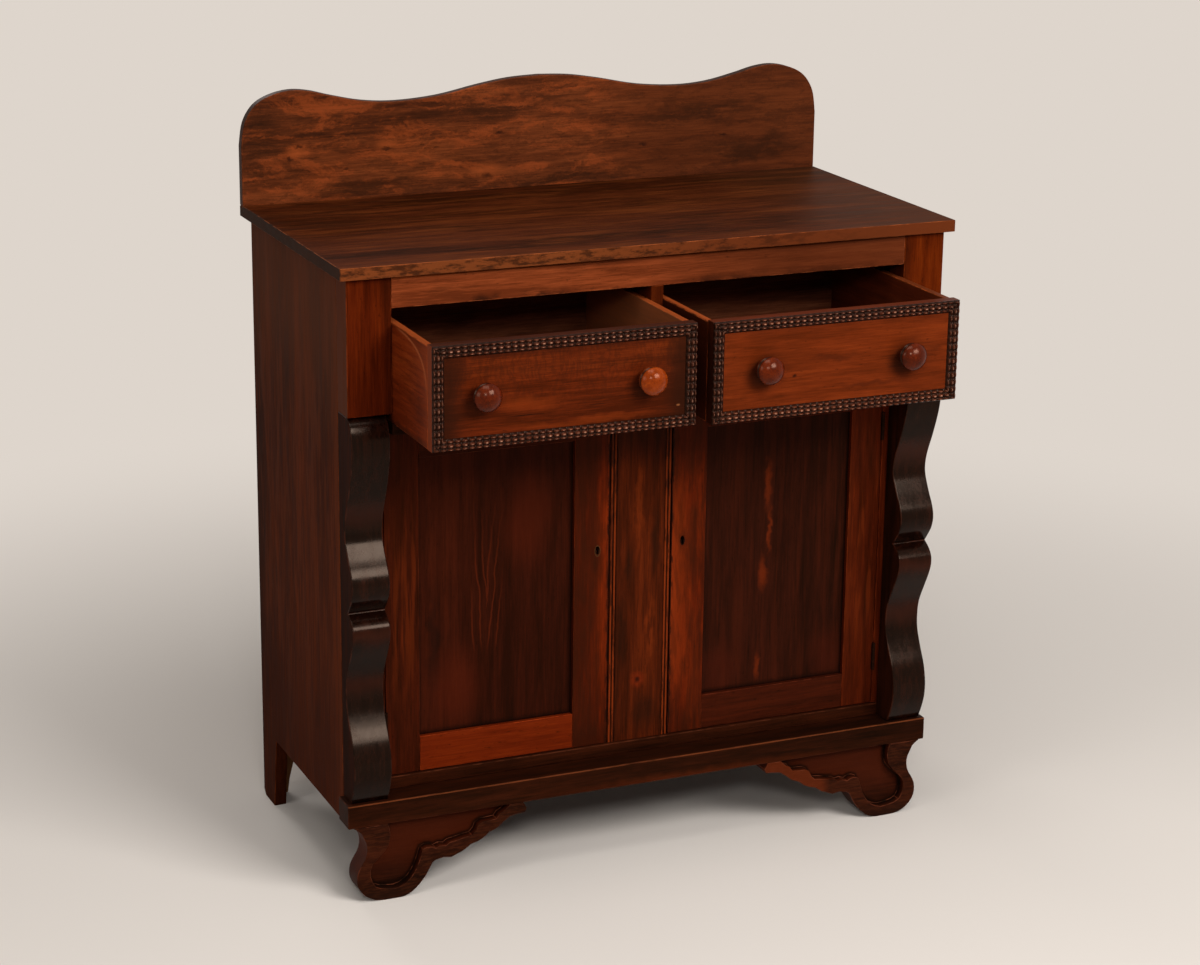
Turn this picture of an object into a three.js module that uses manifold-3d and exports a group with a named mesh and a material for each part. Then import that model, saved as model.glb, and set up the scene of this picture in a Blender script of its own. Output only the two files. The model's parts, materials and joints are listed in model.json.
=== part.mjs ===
// A jelly cupboard in the Empire style: two drawers in a section that stands forward over
// two framed doors, a pair of S-scroll pilasters, a projecting base on bracket feet
// and a shaped backsplash. Both drawers stand part open, and the doors are shut.
// Millimetres. X runs to the right, Y to the back and Z up. Z is 0 on the floor.

import * as THREE from "three";
import { mergeVertices } from "three/addons/utils/BufferGeometryUtils.js";
import Module from "manifold-3d";

const wasm = await Module();
wasm.setup();

// Clearance between pieces that touch, and the overrun of every cut
const touch = 0.3;
const overrun = 2;

// The case
const caseWidth = 1070;
const caseDepth = 459;
const sectionReach = 50;
const sideThickness = 22;
const faceThickness = 22;
const stileWidth = 75;
const backThickness = 14;

// The top and its backsplash
const topHeight = 1087;
const topThickness = 20;
const topEndOverhang = 13.5;
const topFrontOverhang = 13;
const splashThickness = 19;
const splashHeight = 197;
const splashRabbet = 2;

// The drawer section
const friezeHeight = 52.5;
const drawerHeadroom = 20;
const deckThickness = 20;
const postLift = 15.8;
const partitionThickness = 21.6;
const guideHeight = 20;

// The drawers
const frontHeight = 168;
const frontThickness = 20;
const drawerSideDrop = 3;
const drawerSideThickness = 12;
const drawerLength = 430;
const drawerBottomThickness = 8;
const drawerBottomRise = 12;
const drawerGroove = 6;
const drawerSideRun = 1;
const leftOpenLength = 180;
const rightOpenLength = 189;

// The ripple moulding round each drawer front
const rippleWidth = 20;
const rippleThickness = 7;
const rippleWave = 1.5;
const ripplePitch = 11.8;

// The knobs
const knobRadius = 23.4;
const knobReach = 37;
const knobTenonRadius = 6;
const leftKnobSpacing = 279;
const rightKnobSpacing = 260;
const knobRise = 1.5;

// The base, the cupboard's bottom and its shelf
const baseHeight = 178;
const baseThickness = 41;
const baseEndOverhang = 8;
const bottomThickness = 22;
const bottomNosing = 5;
const shelfThickness = 20;
const shelfHeight = 478;
const shelfSetback = 40;

// The feet and the rear legs
const footOuterInset = 1;
const footLength = 309;
const footDepth = 44;
const footRecess = 16;
const sideDropBelowBase = 6;
const legTopWidth = 81;
const legToeWidth = 63;
const legToeCut = 10;
const rearBracketLength = 103;

// The scroll pilasters
const scrollWidth = 65;
const scrollReach = 68;

// The mullion between the doors
const mullionWidth = 112.6;
const reedWidth = 6;
const reedDepth = 2;

// The doors
const doorGap = 1.5;
const hingeStileWidth = 59.5;
const lockStileWidth = 64;
const doorTopRail = 56;
const doorBottomRail = 61.5;
const panelThickness = 8;
const panelSetback = 9;
const panelGroove = 8;
const panelSpare = 1;

// The hinges
const hingeHeight = 50;
const hingeEndDistance = 88;
const leafThickness = 1.5;
const leafWidth = 17;
const knuckleRadius = 2.8;
const hingePinRadius = 1.5;

// The locks
const keyholeSetback = 21.2;
const keyholeRise = 354.5;
const keyholeRadius = 3.6;
const keyholeSlotWidth = 3.6;
const keyholeSlotLength = 11;
const lockHeight = 50;
const lockWidth = 48;
const lockThickness = 12;
const lockEndSetback = 2;
const boltHeight = 14;
const boltThickness = 6;
const boltLength = 38;

// Places worked out from the sizes
const caseHalf = caseWidth / 2;
const caseInner = caseHalf - sideThickness;
const openHalf = caseHalf - stileWidth;
const doorPlane = sectionReach;
const caseBack = doorPlane + caseDepth;
const innerBack = caseBack - backThickness;
const topUnder = topHeight - topThickness;
const topBack = caseBack + splashThickness;
const topHalf = caseHalf + topEndOverhang;
const friezeUnder = topUnder - friezeHeight;
const drawerBottom = friezeUnder - drawerHeadroom - frontHeight;
const deckTop = drawerBottom - touch;
const deckUnder = deckTop - deckThickness;
const postUnder = deckTop + postLift;
const baseUnder = baseHeight - baseThickness;
const sideUnder = baseUnder - sideDropBelowBase;
const bottomTop = baseHeight + bottomThickness;
const scrollInner = caseHalf - scrollWidth;
const drawerWidth = openHalf - partitionThickness / 2 - 2 * drawerSideRun;
const drawerCentre = (openHalf + partitionThickness / 2) / 2;
const mullionHalf = mullionWidth / 2;
const doorWidth = openHalf - mullionHalf - 2 * doorGap;
const doorBottom = bottomTop + doorGap;
const doorHeight = deckUnder - doorGap - doorBottom;
const hingeX = openHalf - doorGap / 2;
const hingeY = doorPlane - knuckleRadius;

// The depth origin lies midway between the front of the foremost knob and the back of the top
const foremost = -Math.max(leftOpenLength, rightOpenLength) - knobReach;
const originY = (foremost + topBack) / 2;

// How finely round shapes are cut
const roundSteps = 16;
const scrollSteps = 22;
const splashSteps = 34;
const reedSteps = 4;
const footSteps = 22;

const pine = { color: 0x5a2410, roughness: 0.45 };
const paleWood = { color: 0x6e3216, roughness: 0.7 };
const mahogany = { color: 0x2a130c, roughness: 0.25 };
const darkWood = { color: 0x1b100b, roughness: 0.35 };
const panelWood = { color: 0x2c0f08, roughness: 0.4 };
const iron = { color: 0x2b2521, roughness: 0.6, metalness: 0.8 };
const brass = { color: 0x8a6a34, roughness: 0.45, metalness: 0.9 };

function piece(name, geometry, look) {
  const mesh = new THREE.Mesh(geometry, new THREE.MeshStandardMaterial(look));
  mesh.name = name;
  return mesh;
}

// A box from ranges along X, Y and Z, each given either way round
function box(xs, ys, zs) {
  const size = [xs, ys, zs].map(([a, b]) => Math.abs(b - a));
  const middle = [xs, ys, zs].map(([a, b]) => (a + b) / 2);
  const geometry = new THREE.BoxGeometry(...size);
  geometry.translate(...middle);
  return geometry;
}

function outlineShape(points) {
  return new THREE.Shape(points.map(([u, v]) => new THREE.Vector2(u, v)));
}

// A prism over an outline, along the axis that the outline leaves out
function prism(points, axis, [from, to]) {
  const depth = to - from;
  const geometry = new THREE.ExtrudeGeometry(outlineShape(points), { depth, bevelEnabled: false });
  const basis = new THREE.Matrix4();
  if (axis === "x") {
    basis.set(0, 0, 1, from, 1, 0, 0, 0, 0, 1, 0, 0, 0, 0, 0, 1);
  } else if (axis === "y") {
    basis.set(1, 0, 0, 0, 0, 0, -1, to, 0, 1, 0, 0, 0, 0, 0, 1);
  } else {
    basis.makeTranslation(0, 0, from);
  }
  geometry.applyMatrix4(basis);
  return geometry;
}

// An upright cylinder round a vertical axis through x and y
function upright(radius, x, y, [from, to]) {
  const geometry = new THREE.CylinderGeometry(radius, radius, to - from, roundSteps);
  geometry.rotateX(Math.PI / 2);
  geometry.translate(x, y, (from + to) / 2);
  return geometry;
}

function solid(geometry) {
  const bare = geometry.clone();
  bare.deleteAttribute("normal");
  bare.deleteAttribute("uv");
  const merged = mergeVertices(bare);
  const mesh = new wasm.Mesh({
    numProp: 3,
    vertProperties: new Float32Array(merged.attributes.position.array),
    triVerts: new Uint32Array(merged.index.array),
  });
  return new wasm.Manifold(mesh);
}

// Joins the first list of geometries and cuts the second list out of it
function carve(parts, cuts = []) {
  let body = solid(parts[0]);
  for (const part of parts.slice(1)) {
    body = body.add(solid(part));
  }
  for (const cut of cuts) {
    body = body.subtract(solid(cut));
  }
  const mesh = body.getMesh();
  const geometry = new THREE.BufferGeometry();
  geometry.setAttribute("position", new THREE.BufferAttribute(mesh.vertProperties, mesh.numProp));
  geometry.setIndex(new THREE.BufferAttribute(mesh.triVerts, 1));
  geometry.computeVertexNormals();
  return geometry;
}

// Points of a smooth line through knots, without the last one if another line follows
function smooth(knots, steps) {
  const curve = new THREE.SplineCurve(knots.map(([u, v]) => new THREE.Vector2(u, v)));
  return curve.getPoints(steps).map((point) => [point.x, point.y]);
}

function mirrored(points) {
  return points.map(([u, v]) => [-u, v]).reverse();
}

// A board that is narrower at its front edge, where it runs between the posts or the scrolls
function steppedBoard(frontHalf, front, step, heights) {
  const backHalf = caseInner - touch;
  const half = [
    [frontHalf, front],
    [frontHalf, step],
    [backHalf, step],
    [backHalf, innerBack - touch],
  ];
  return prism([...half, ...mirrored(half)], "z", heights);
}

// The case's end: a board with its rear corner running down to the floor as a leg
function sideBoard(side) {
  const outline = [
    [doorPlane, topUnder - touch],
    [doorPlane, sideUnder],
    [caseBack - legTopWidth, sideUnder],
    [caseBack - legToeWidth, 0],
    [caseBack - legToeCut, 0],
    [caseBack, legToeCut],
    [caseBack, topUnder - touch],
  ];
  const ends = [side * caseInner, side * caseHalf].sort((a, b) => a - b);
  return prism(outline, "x", ends);
}

// The top has a shallow rabbet along its back edge, in which the backsplash stands
function topBoard() {
  const rabbetFloor = topHeight - splashRabbet;
  const outline = [
    [-topFrontOverhang, topUnder],
    [topBack, topUnder],
    [topBack, rabbetFloor],
    [caseBack - touch, rabbetFloor],
    [caseBack - touch, topHeight],
    [-topFrontOverhang, topHeight],
  ];
  return prism(outline, "x", [-topHalf, topHalf]);
}

// The backsplash's upper edge, from the middle to one end: crest, hollow, lobe and shoulder
const splashShares = [
  [0, 1], [0.105, 0.985], [0.21, 0.94], [0.35, 0.865], [0.49, 0.837], [0.6, 0.857],
  [0.7, 0.915], [0.775, 0.968], [0.84, 0.983], [0.905, 0.945], [0.955, 0.865], [0.988, 0.72],
  [1, 0.52],
];

function backsplash() {
  const knots = splashShares.map(([across, up]) => [across * topHalf, topHeight + up * splashHeight]);
  const edge = smooth(knots, splashSteps);
  const half = [...edge, [topHalf, topHeight - splashRabbet + touch]].reverse();
  const outline = [...half, ...mirrored(half).slice(1)];
  return prism(outline, "y", [caseBack, topBack]);
}

// The block behind the stile of the drawer section, which stands forward of the case
function drawerPost(side) {
  return box([side * openHalf, side * caseHalf], [0, doorPlane - touch], [postUnder, topUnder - touch]);
}

function frieze() {
  const half = openHalf - touch;
  return box([-half, half], [0, faceThickness], [friezeUnder, topUnder - touch]);
}

function drawerDeck() {
  return steppedBoard(openHalf - touch, 0, doorPlane, [deckUnder, deckTop]);
}

// The partition passes under the frieze and rises to the top behind it
function partition() {
  const half = partitionThickness / 2;
  const outline = [
    [0, deckTop + touch],
    [innerBack - touch, deckTop + touch],
    [innerBack - touch, topUnder - touch],
    [faceThickness + touch, topUnder - touch],
    [faceThickness + touch, friezeUnder - touch],
    [0, friezeUnder - touch],
  ];
  return prism(outline, "x", [-half, half]);
}

function drawerGuide(side) {
  const xs = [side * openHalf, side * (caseInner - touch)];
  return box(xs, [doorPlane, innerBack - touch], [deckTop + touch, deckTop + guideHeight]);
}

// The pocket for a hinge leaf in the edge of a stile, for both hinges of a door
function hingePockets(xs) {
  const ys = [doorPlane - overrun, doorPlane + leafWidth - knuckleRadius + 2 * touch];
  return hingeCentres().map((centre) => {
    const half = hingeHeight / 2 + touch;
    return box(xs, ys, [doorBottom + centre - half, doorBottom + centre + half]);
  });
}

function hingeCentres() {
  return [hingeEndDistance, doorHeight - hingeEndDistance];
}

// The stile beside the door, behind the scroll, with pockets for the hinge leaves
function caseStile(side) {
  const ys = [doorPlane, doorPlane + faceThickness];
  const xs = [side * openHalf, side * (caseInner - touch)];
  const board = box(xs, ys, [bottomTop + touch, deckUnder - touch]);
  const pocketDepth = leafThickness + touch;
  return carve([board], hingePockets([side * (openHalf - overrun), side * (openHalf + pocketDepth)]));
}

// Two round reeds run up each long edge of the mullion
function mullion() {
  const back = doorPlane + faceThickness;
  const reeds = [];
  for (let reed = 0; reed < 2; reed += 1) {
    const middle = mullionHalf - (reed + 1 / 2) * reedWidth;
    for (let step = 0; step < reedSteps; step += 1) {
      const angle = (Math.PI * step) / reedSteps;
      const x = middle + (Math.cos(angle) * reedWidth) / 2;
      reeds.push([x, doorPlane + reedDepth * (1 - Math.sin(angle))]);
    }
  }
  const inner = mullionHalf - 2 * reedWidth;
  const half = [[mullionHalf, back], ...reeds, [inner, doorPlane + reedDepth], [inner, doorPlane]];
  return prism([...half, ...mirrored(half)], "z", [bottomTop + touch, deckUnder - touch]);
}

function bottomBoard() {
  const front = doorPlane - bottomNosing;
  return steppedBoard(scrollInner - touch, front, doorPlane, [baseHeight + touch, bottomTop]);
}

function shelf() {
  const half = caseInner - touch;
  const front = doorPlane + shelfSetback;
  return box([-half, half], [front, innerBack - touch], [shelfHeight, shelfHeight + shelfThickness]);
}

// The inner edge of the rear bracket, as shares of its length and of its height
const rearBracketShares = [[0.18, 0], [0.22, 0.22], [0.31, 0.5], [0.6, 0.8], [1, 1]];

// The back, whose lower corners run down to the floor as brackets beside the rear legs
function backBoard() {
  const half = caseInner - touch;
  const place = ([across, up]) => [half - across * rearBracketLength, up * sideUnder];
  const bracket = rearBracketShares.map(place);
  const outline = [[half, topUnder - touch], [half, 0], ...bracket];
  return prism([...outline, ...mirrored(outline)], "y", [innerBack, caseBack]);
}

function baseBoard() {
  const half = caseHalf + baseEndOverhang;
  return box([-half, half], [0, doorPlane - touch], [baseUnder, baseHeight]);
}

// The scroll's face from the top down, as shares of its height and of its reach.
// It turns in sharply between the two scrolls, which is where one table ends and the next begins.
const upperScrollShares = [
  [1, 0.62], [0.985, 0.84], [0.955, 0.96], [0.915, 1], [0.865, 0.92], [0.8, 0.7],
  [0.745, 0.47], [0.71, 0.38], [0.68, 0.4], [0.64, 0.6], [0.605, 0.82], [0.575, 0.905],
  [0.545, 0.84], [0.52, 0.68], [0.5, 0.53],
];
const lowerScrollShares = [
  [0.5, 0.53], [0.485, 0.76], [0.465, 0.9], [0.44, 0.905], [0.41, 0.8], [0.37, 0.6],
  [0.325, 0.39], [0.285, 0.33], [0.245, 0.37], [0.2, 0.56], [0.155, 0.79], [0.11, 0.9],
  [0.07, 0.885], [0.035, 0.78], [0, 0.62],
];

function scroll(side) {
  const back = doorPlane - touch;
  const foot = baseHeight + touch;
  const rise = postUnder - touch - foot;
  const knots = (shares) => shares.map(([up, out]) => [doorPlane - out * scrollReach, foot + up * rise]);
  const upper = smooth(knots(upperScrollShares), scrollSteps);
  const lower = smooth(knots(lowerScrollShares), scrollSteps);
  const outline = [[back, foot + rise], ...upper, ...lower.slice(1), [back, foot]];
  const ends = [side * scrollInner, side * caseHalf].sort((a, b) => a - b);
  return prism(outline, "x", ends);
}

// The foot's outer edge from under the base down to the floor, as shares of its length, taken
// from its outer end, and of its height
const footOuterShares = [
  [0, 1], [0.038, 0.942], [0.055, 0.865], [0.071, 0.788], [0.076, 0.693], [0.066, 0.591],
  [0.044, 0.505], [0.022, 0.41], [0.016, 0.314], [0.022, 0.22], [0.045, 0.13], [0.08, 0.06],
  [0.125, 0.015], [0.178, 0],
];
// Its inner edge from the floor up to the wing, and the wing's notched lower edge out to its tip
const footInnerShares = [
  [0.256, 0], [0.291, 0.012], [0.327, 0.047], [0.362, 0.109], [0.398, 0.2], [0.426, 0.299],
  [0.446, 0.39],
];
const wingShares = [
  [0.466, 0.42], [0.511, 0.438], [0.557, 0.424], [0.589, 0.453], [0.625, 0.482], [0.67, 0.551],
  [0.712, 0.577], [0.744, 0.613], [0.777, 0.672], [0.825, 0.715], [0.861, 0.781], [0.9, 0.843],
  [0.945, 0.858], [0.99, 0.865], [1, 0.92], [0.98, 1],
];
// The raised rim's inner edge, from under the base round the foot and notched along the wing
const rimShares = [
  [0.195, 1], [0.207, 0.896], [0.205, 0.81], [0.194, 0.711], [0.162, 0.617], [0.127, 0.546],
  [0.1, 0.471], [0.093, 0.368], [0.104, 0.255], [0.129, 0.182], [0.178, 0.151], [0.239, 0.136],
  [0.284, 0.172], [0.32, 0.233], [0.346, 0.319], [0.369, 0.428], [0.382, 0.53],
];
const notchShares = [
  [0.392, 0.59], [0.417, 0.612], [0.443, 0.607], [0.466, 0.577], [0.493, 0.603], [0.524, 0.591],
  [0.547, 0.625], [0.586, 0.64], [0.641, 0.664], [0.676, 0.672], [0.699, 0.726], [0.712, 0.796],
  [0.74, 0.829], [0.783, 0.834], [0.82, 0.841], [0.838, 0.898], [0.861, 0.922], [0.9, 1],
];

// A front foot: a block sawn to an S at its outer edge, with a wing under the base. A raised
// rim follows the sawn edge, round a field that lies deeper.
function frontFoot(side) {
  const rise = baseUnder - touch;
  const outer = caseHalf - footOuterInset;
  const place = ([across, up]) => [side * (outer - across * footLength), up * rise];
  const outerEdge = smooth(footOuterShares.map(place), footSteps);
  const innerEdge = smooth(footInnerShares.map(place), footSteps / 2);
  const sawnEdge = [...outerEdge, ...innerEdge, ...wingShares.map(place)];
  const rimCurve = smooth(rimShares.map(place), footSteps);
  const rimInner = [...rimCurve, ...notchShares.map(place)];
  const block = prism(sawnEdge, "y", [footRecess, footDepth]);
  const rim = prism([...sawnEdge, ...rimInner.reverse()], "y", [0, footRecess + touch]);
  return carve([block, rim]);
}

// The drawer front, seen in its own frame: X is 0 at its middle, Y is 0 on its face
// and Z is 0 at its lower edge
function drawerFront(knobSpacing) {
  const half = drawerWidth / 2;
  const board = box([-half, half], [0, frontThickness], [0, frontHeight]);
  const grooveHalf = half - drawerSideThickness + drawerGroove;
  const groove = box(
    [-grooveHalf, grooveHalf],
    [frontThickness - drawerGroove, frontThickness + overrun],
    [drawerBottomRise - touch, drawerBottomRise + drawerBottomThickness + touch],
  );
  const holes = knobPlaces(knobSpacing).map(([x, z]) => {
    const radius = knobTenonRadius + touch;
    const hole = new THREE.CylinderGeometry(radius, radius, frontThickness + 2 * overrun, roundSteps);
    hole.translate(x, frontThickness / 2, z);
    return hole;
  });
  return carve([board], [groove, ...holes]);
}

function knobPlaces(knobSpacing) {
  const z = frontHeight / 2 + knobRise;
  return [-1, 1].map((way) => [(way * knobSpacing) / 2, z]);
}

// A drawer side has a groove along its inner face for the bottom board
function drawerSide(way) {
  const outer = drawerWidth / 2;
  const inner = outer - drawerSideThickness;
  const deep = inner + drawerGroove;
  const low = drawerBottomRise - touch;
  const high = drawerBottomRise + drawerBottomThickness + touch;
  const rise = frontHeight - drawerSideDrop;
  const outline = [
    [outer, 0], [outer, rise], [inner, rise], [inner, high],
    [deep, high], [deep, low], [inner, low], [inner, 0],
  ].map(([x, z]) => [way * x, z]);
  return prism(outline, "y", [frontThickness + touch, drawerLength]);
}

function drawerBack() {
  const half = drawerWidth / 2 - drawerSideThickness - touch;
  const floor = drawerBottomRise + drawerBottomThickness + touch;
  const ys = [drawerLength - drawerSideThickness, drawerLength];
  return box([-half, half], ys, [floor, frontHeight - drawerSideDrop - drawerSideThickness / 2]);
}

function drawerBottomBoard() {
  const half = drawerWidth / 2 - drawerSideThickness + drawerGroove - touch;
  const ys = [frontThickness - drawerGroove + touch, drawerLength];
  return box([-half, half], ys, [drawerBottomRise, drawerBottomRise + drawerBottomThickness]);
}

// The waved face of a strip of ripple moulding: a crest at the middle of each bead
function rippleEdge(length) {
  const beads = Math.max(1, Math.round(length / ripplePitch));
  const points = [];
  for (let bead = 0; bead < beads; bead += 1) {
    const start = -length / 2 + (bead * length) / beads;
    points.push([start, rippleWave - rippleThickness - touch]);
    points.push([start + length / beads / 2, -rippleThickness - touch]);
  }
  points.push([length / 2, rippleWave - rippleThickness - touch]);
  return points;
}

// Four strips of ripple moulding joined to a frame on the drawer's face
function rippleFrame() {
  const halfWidth = drawerWidth / 2;
  const across = [[-halfWidth, -touch], ...rippleEdge(drawerWidth), [halfWidth, -touch]];
  const upEdge = rippleEdge(frontHeight).map(([along, y]) => [y, along + frontHeight / 2]);
  const up = [[-touch, 0], ...upEdge, [-touch, frontHeight]];
  return carve([
    prism(across, "z", [0, rippleWidth]),
    prism(across, "z", [frontHeight - rippleWidth, frontHeight]),
    prism(up, "x", [-halfWidth, rippleWidth - halfWidth]),
    prism(up, "x", [halfWidth - rippleWidth, halfWidth]),
  ]);
}

// The knob from its neck to its crown, as shares of its radius and of its reach. A groove
// parts the ring at its back from the cap.
const knobShares = [
  [0.47, 0], [0.45, 0.16], [0.55, 0.3], [0.84, 0.38], [0.93, 0.43], [0.9, 0.5], [0.98, 0.57],
  [1, 0.66], [0.96, 0.78], [0.78, 0.9], [0.42, 0.98],
];

// A turned mushroom knob, standing on the drawer's face with its tenon through the front
function knob() {
  const cap = knobShares.map(([out, along]) => [out * knobRadius, touch + along * (knobReach - touch)]);
  const tenon = [[0, -frontThickness], [knobTenonRadius, -frontThickness], [knobTenonRadius, touch]];
  const profile = [...tenon, ...cap, [0, knobReach]];
  const points = profile.map(([radius, along]) => new THREE.Vector2(radius, along));
  const geometry = new THREE.LatheGeometry(points, roundSteps);
  geometry.rotateX(Math.PI);
  return geometry;
}

function drawer(name, side, open, knobSpacing) {
  const group = new THREE.Group();
  group.add(
    piece(`${name}_drawer_front`, drawerFront(knobSpacing), pine),
    piece(`${name}_drawer_left_side`, drawerSide(-1), paleWood),
    piece(`${name}_drawer_right_side`, drawerSide(1), paleWood),
    piece(`${name}_drawer_back`, drawerBack(), paleWood),
    piece(`${name}_drawer_bottom`, drawerBottomBoard(), paleWood),
    piece(`${name}_drawer_ripple_frame`, rippleFrame(), darkWood),
  );
  knobPlaces(knobSpacing).forEach(([x, z], index) => {
    const turned = piece(`${name}_drawer_${index === 0 ? "left" : "right"}_knob`, knob(), mahogany);
    turned.position.set(x, 0, z);
    group.add(turned);
  });
  group.position.set(side * drawerCentre, -open, drawerBottom);
  return group;
}

// A door is built in the frame of its hinge axis: X runs from the axis towards the lock for the
// left door and the other way for the right one, Y is 0 on the axis and Z is 0 at its lower edge.
const doorFace = knuckleRadius;
const doorStart = doorGap / 2;
const doorEnd = doorStart + doorWidth;
const panelFront = doorFace + panelSetback;
const panelBack = panelFront + panelThickness;
const lockStileStart = doorEnd - lockStileWidth;
const hingeStileEnd = doorStart + hingeStileWidth;

function turned(points, way) {
  return points.map(([x, y]) => [way * x, y]);
}

// A door stile with a groove along its inner edge, which the panel and the rails' tenons enter
function stileOutline(outer, inner) {
  const deep = inner + Math.sign(outer - inner) * panelGroove;
  const back = doorFace + faceThickness;
  return [
    [outer, doorFace], [inner, doorFace], [inner, panelFront - touch], [deep, panelFront - touch],
    [deep, panelBack + touch], [inner, panelBack + touch], [inner, back], [outer, back],
  ];
}

function hingeStile(way) {
  const board = prism(turned(stileOutline(doorStart, hingeStileEnd), way), "z", [0, doorHeight]);
  const xs = [way * (doorStart - overrun), way * (doorStart + leafThickness + touch)];
  const ys = [doorFace - overrun, leafWidth + 2 * touch];
  const half = hingeHeight / 2 + touch;
  const pockets = hingeCentres().map((centre) => box(xs, ys, [centre - half, centre + half]));
  return carve([board], pockets);
}

function lockStile(way) {
  const board = prism(turned(stileOutline(doorEnd, lockStileStart), way), "z", [0, doorHeight]);
  const ys = [doorFace - overrun, doorFace + faceThickness + overrun];
  const middle = doorEnd - keyholeSetback;
  return carve([board], [prism(keyholeOutline(way * middle), "y", ys)]);
}

// A keyhole: a round head with a slot running down from it
function keyholeOutline(x) {
  const slotHalf = keyholeSlotWidth / 2;
  const turn = Math.asin(slotHalf / keyholeRadius);
  const slotEnd = keyholeRise - keyholeSlotLength;
  const points = [[x - slotHalf, slotEnd], [x + slotHalf, slotEnd]];
  for (let step = 0; step <= roundSteps; step += 1) {
    const angle = -Math.PI / 2 + turn + ((2 * Math.PI - 2 * turn) * step) / roundSteps;
    points.push([x + keyholeRadius * Math.cos(angle), keyholeRise + keyholeRadius * Math.sin(angle)]);
  }
  return points;
}

// A door rail, with a groove for the panel along its inner edge and a stub tenon at each end.
// The range runs from its outer edge to its inner edge.
function rail(way, [outer, inner]) {
  const toward = Math.sign(outer - inner);
  const back = doorFace + faceThickness;
  const deep = inner + toward * panelGroove;
  const outline = [
    [doorFace, outer], [doorFace, inner], [panelFront - touch, inner], [panelFront - touch, deep],
    [panelBack + touch, deep], [panelBack + touch, inner], [back, inner], [back, outer],
  ];
  const xs = [way * (hingeStileEnd + touch), way * (lockStileStart - touch)].sort((a, b) => a - b);
  const reach = panelGroove - panelSpare;
  const tenonXs = [way * (hingeStileEnd - reach), way * (lockStileStart + reach)];
  const tenon = box(tenonXs, [panelFront, panelBack], [outer, deep + toward * panelSpare]);
  return carve([prism(outline, "x", xs), tenon]);
}

function doorPanel(way) {
  const reach = panelGroove - panelSpare;
  const xs = [way * (hingeStileEnd - reach), way * (lockStileStart + reach)];
  const zs = [doorBottomRail - reach, doorHeight - doorTopRail + reach];
  return box(xs, [panelFront, panelBack], zs);
}

// The three lengths of a hinge's knuckle, from its lower end up
function knuckleRange(third, centre) {
  const low = centre - hingeHeight / 2;
  const length = hingeHeight / 3;
  const trimLow = third > 0 ? touch / 2 : 0;
  const trimHigh = third < 2 ? touch / 2 : 0;
  return [low + third * length + trimLow, low + (third + 1) * length - trimHigh];
}

// The plate of a leaf and the tabs that join it to its knuckles. The way is the side that
// the plate lies on.
function leafParts(way, centre, thirds) {
  const xs = [(way * doorGap) / 2, way * (doorGap / 2 + leafThickness)];
  const plateStart = knuckleRadius + touch;
  const plate = box(xs, [plateStart, leafWidth], [centre - hingeHeight / 2, centre + hingeHeight / 2]);
  const tabs = thirds.map((third) => box(xs, [0, plateStart + touch], knuckleRange(third, centre)));
  const knuckles = thirds.map((third) => upright(knuckleRadius, 0, 0, knuckleRange(third, centre)));
  return [plate, ...tabs, ...knuckles];
}

function doorLeaf(way, centre) {
  const bore = upright(hingePinRadius + 2 * touch, 0, 0, [centre - hingeHeight, centre + hingeHeight]);
  return carve(leafParts(way, centre, [1]), [bore]);
}

function caseLeaf(way, centre) {
  const pin = upright(hingePinRadius, 0, 0, [centre - hingeHeight / 2, centre + hingeHeight / 2]);
  return carve([...leafParts(-way, centre, [0, 2]), pin]);
}

// The lock lies behind the lock stile, with a slot for its bolt open towards the mullion
const lockFront = doorFace + faceThickness + touch;
const lockEnd = doorEnd - lockEndSetback;

function lockCase(way) {
  const middle = lockFront + lockThickness / 2;
  const body = box(
    [way * (lockEnd - lockWidth), way * lockEnd],
    [lockFront, lockFront + lockThickness],
    [keyholeRise - lockHeight / 2, keyholeRise + lockHeight / 2],
  );
  const slot = box(
    [way * (doorEnd - boltLength - overrun), way * (lockEnd + overrun)],
    [middle - boltThickness / 2 - touch, middle + boltThickness / 2 + touch],
    [keyholeRise - boltHeight / 2 - touch, keyholeRise + boltHeight / 2 + touch],
  );
  return carve([body], [slot]);
}

function lockBolt(way) {
  const middle = lockFront + lockThickness / 2;
  return box(
    [way * (doorEnd - boltLength - touch), way * (doorEnd - touch)],
    [middle - boltThickness / 2, middle + boltThickness / 2],
    [keyholeRise - boltHeight / 2, keyholeRise + boltHeight / 2],
  );
}

function door(name, side) {
  const way = -side;
  const group = new THREE.Group();
  group.add(
    piece(`${name}_door_hinge_stile`, hingeStile(way), pine),
    piece(`${name}_door_lock_stile`, lockStile(way), pine),
    piece(`${name}_door_top_rail`, rail(way, [doorHeight, doorHeight - doorTopRail]), pine),
    piece(`${name}_door_bottom_rail`, rail(way, [0, doorBottomRail]), pine),
    piece(`${name}_door_panel`, doorPanel(way), panelWood),
    piece(`${name}_door_lock_case`, lockCase(way), iron),
    piece(`${name}_door_lock_bolt`, lockBolt(way), brass),
  );
  hingeCentres().forEach((centre, index) => {
    const place = index === 0 ? "lower" : "upper";
    group.add(
      piece(`${name}_door_${place}_hinge_leaf`, doorLeaf(way, centre), iron),
      piece(`${name}_case_${place}_hinge_leaf`, caseLeaf(way, centre), iron),
    );
  });
  group.position.set(side * hingeX, hingeY, doorBottom);
  return group;
}

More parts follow.
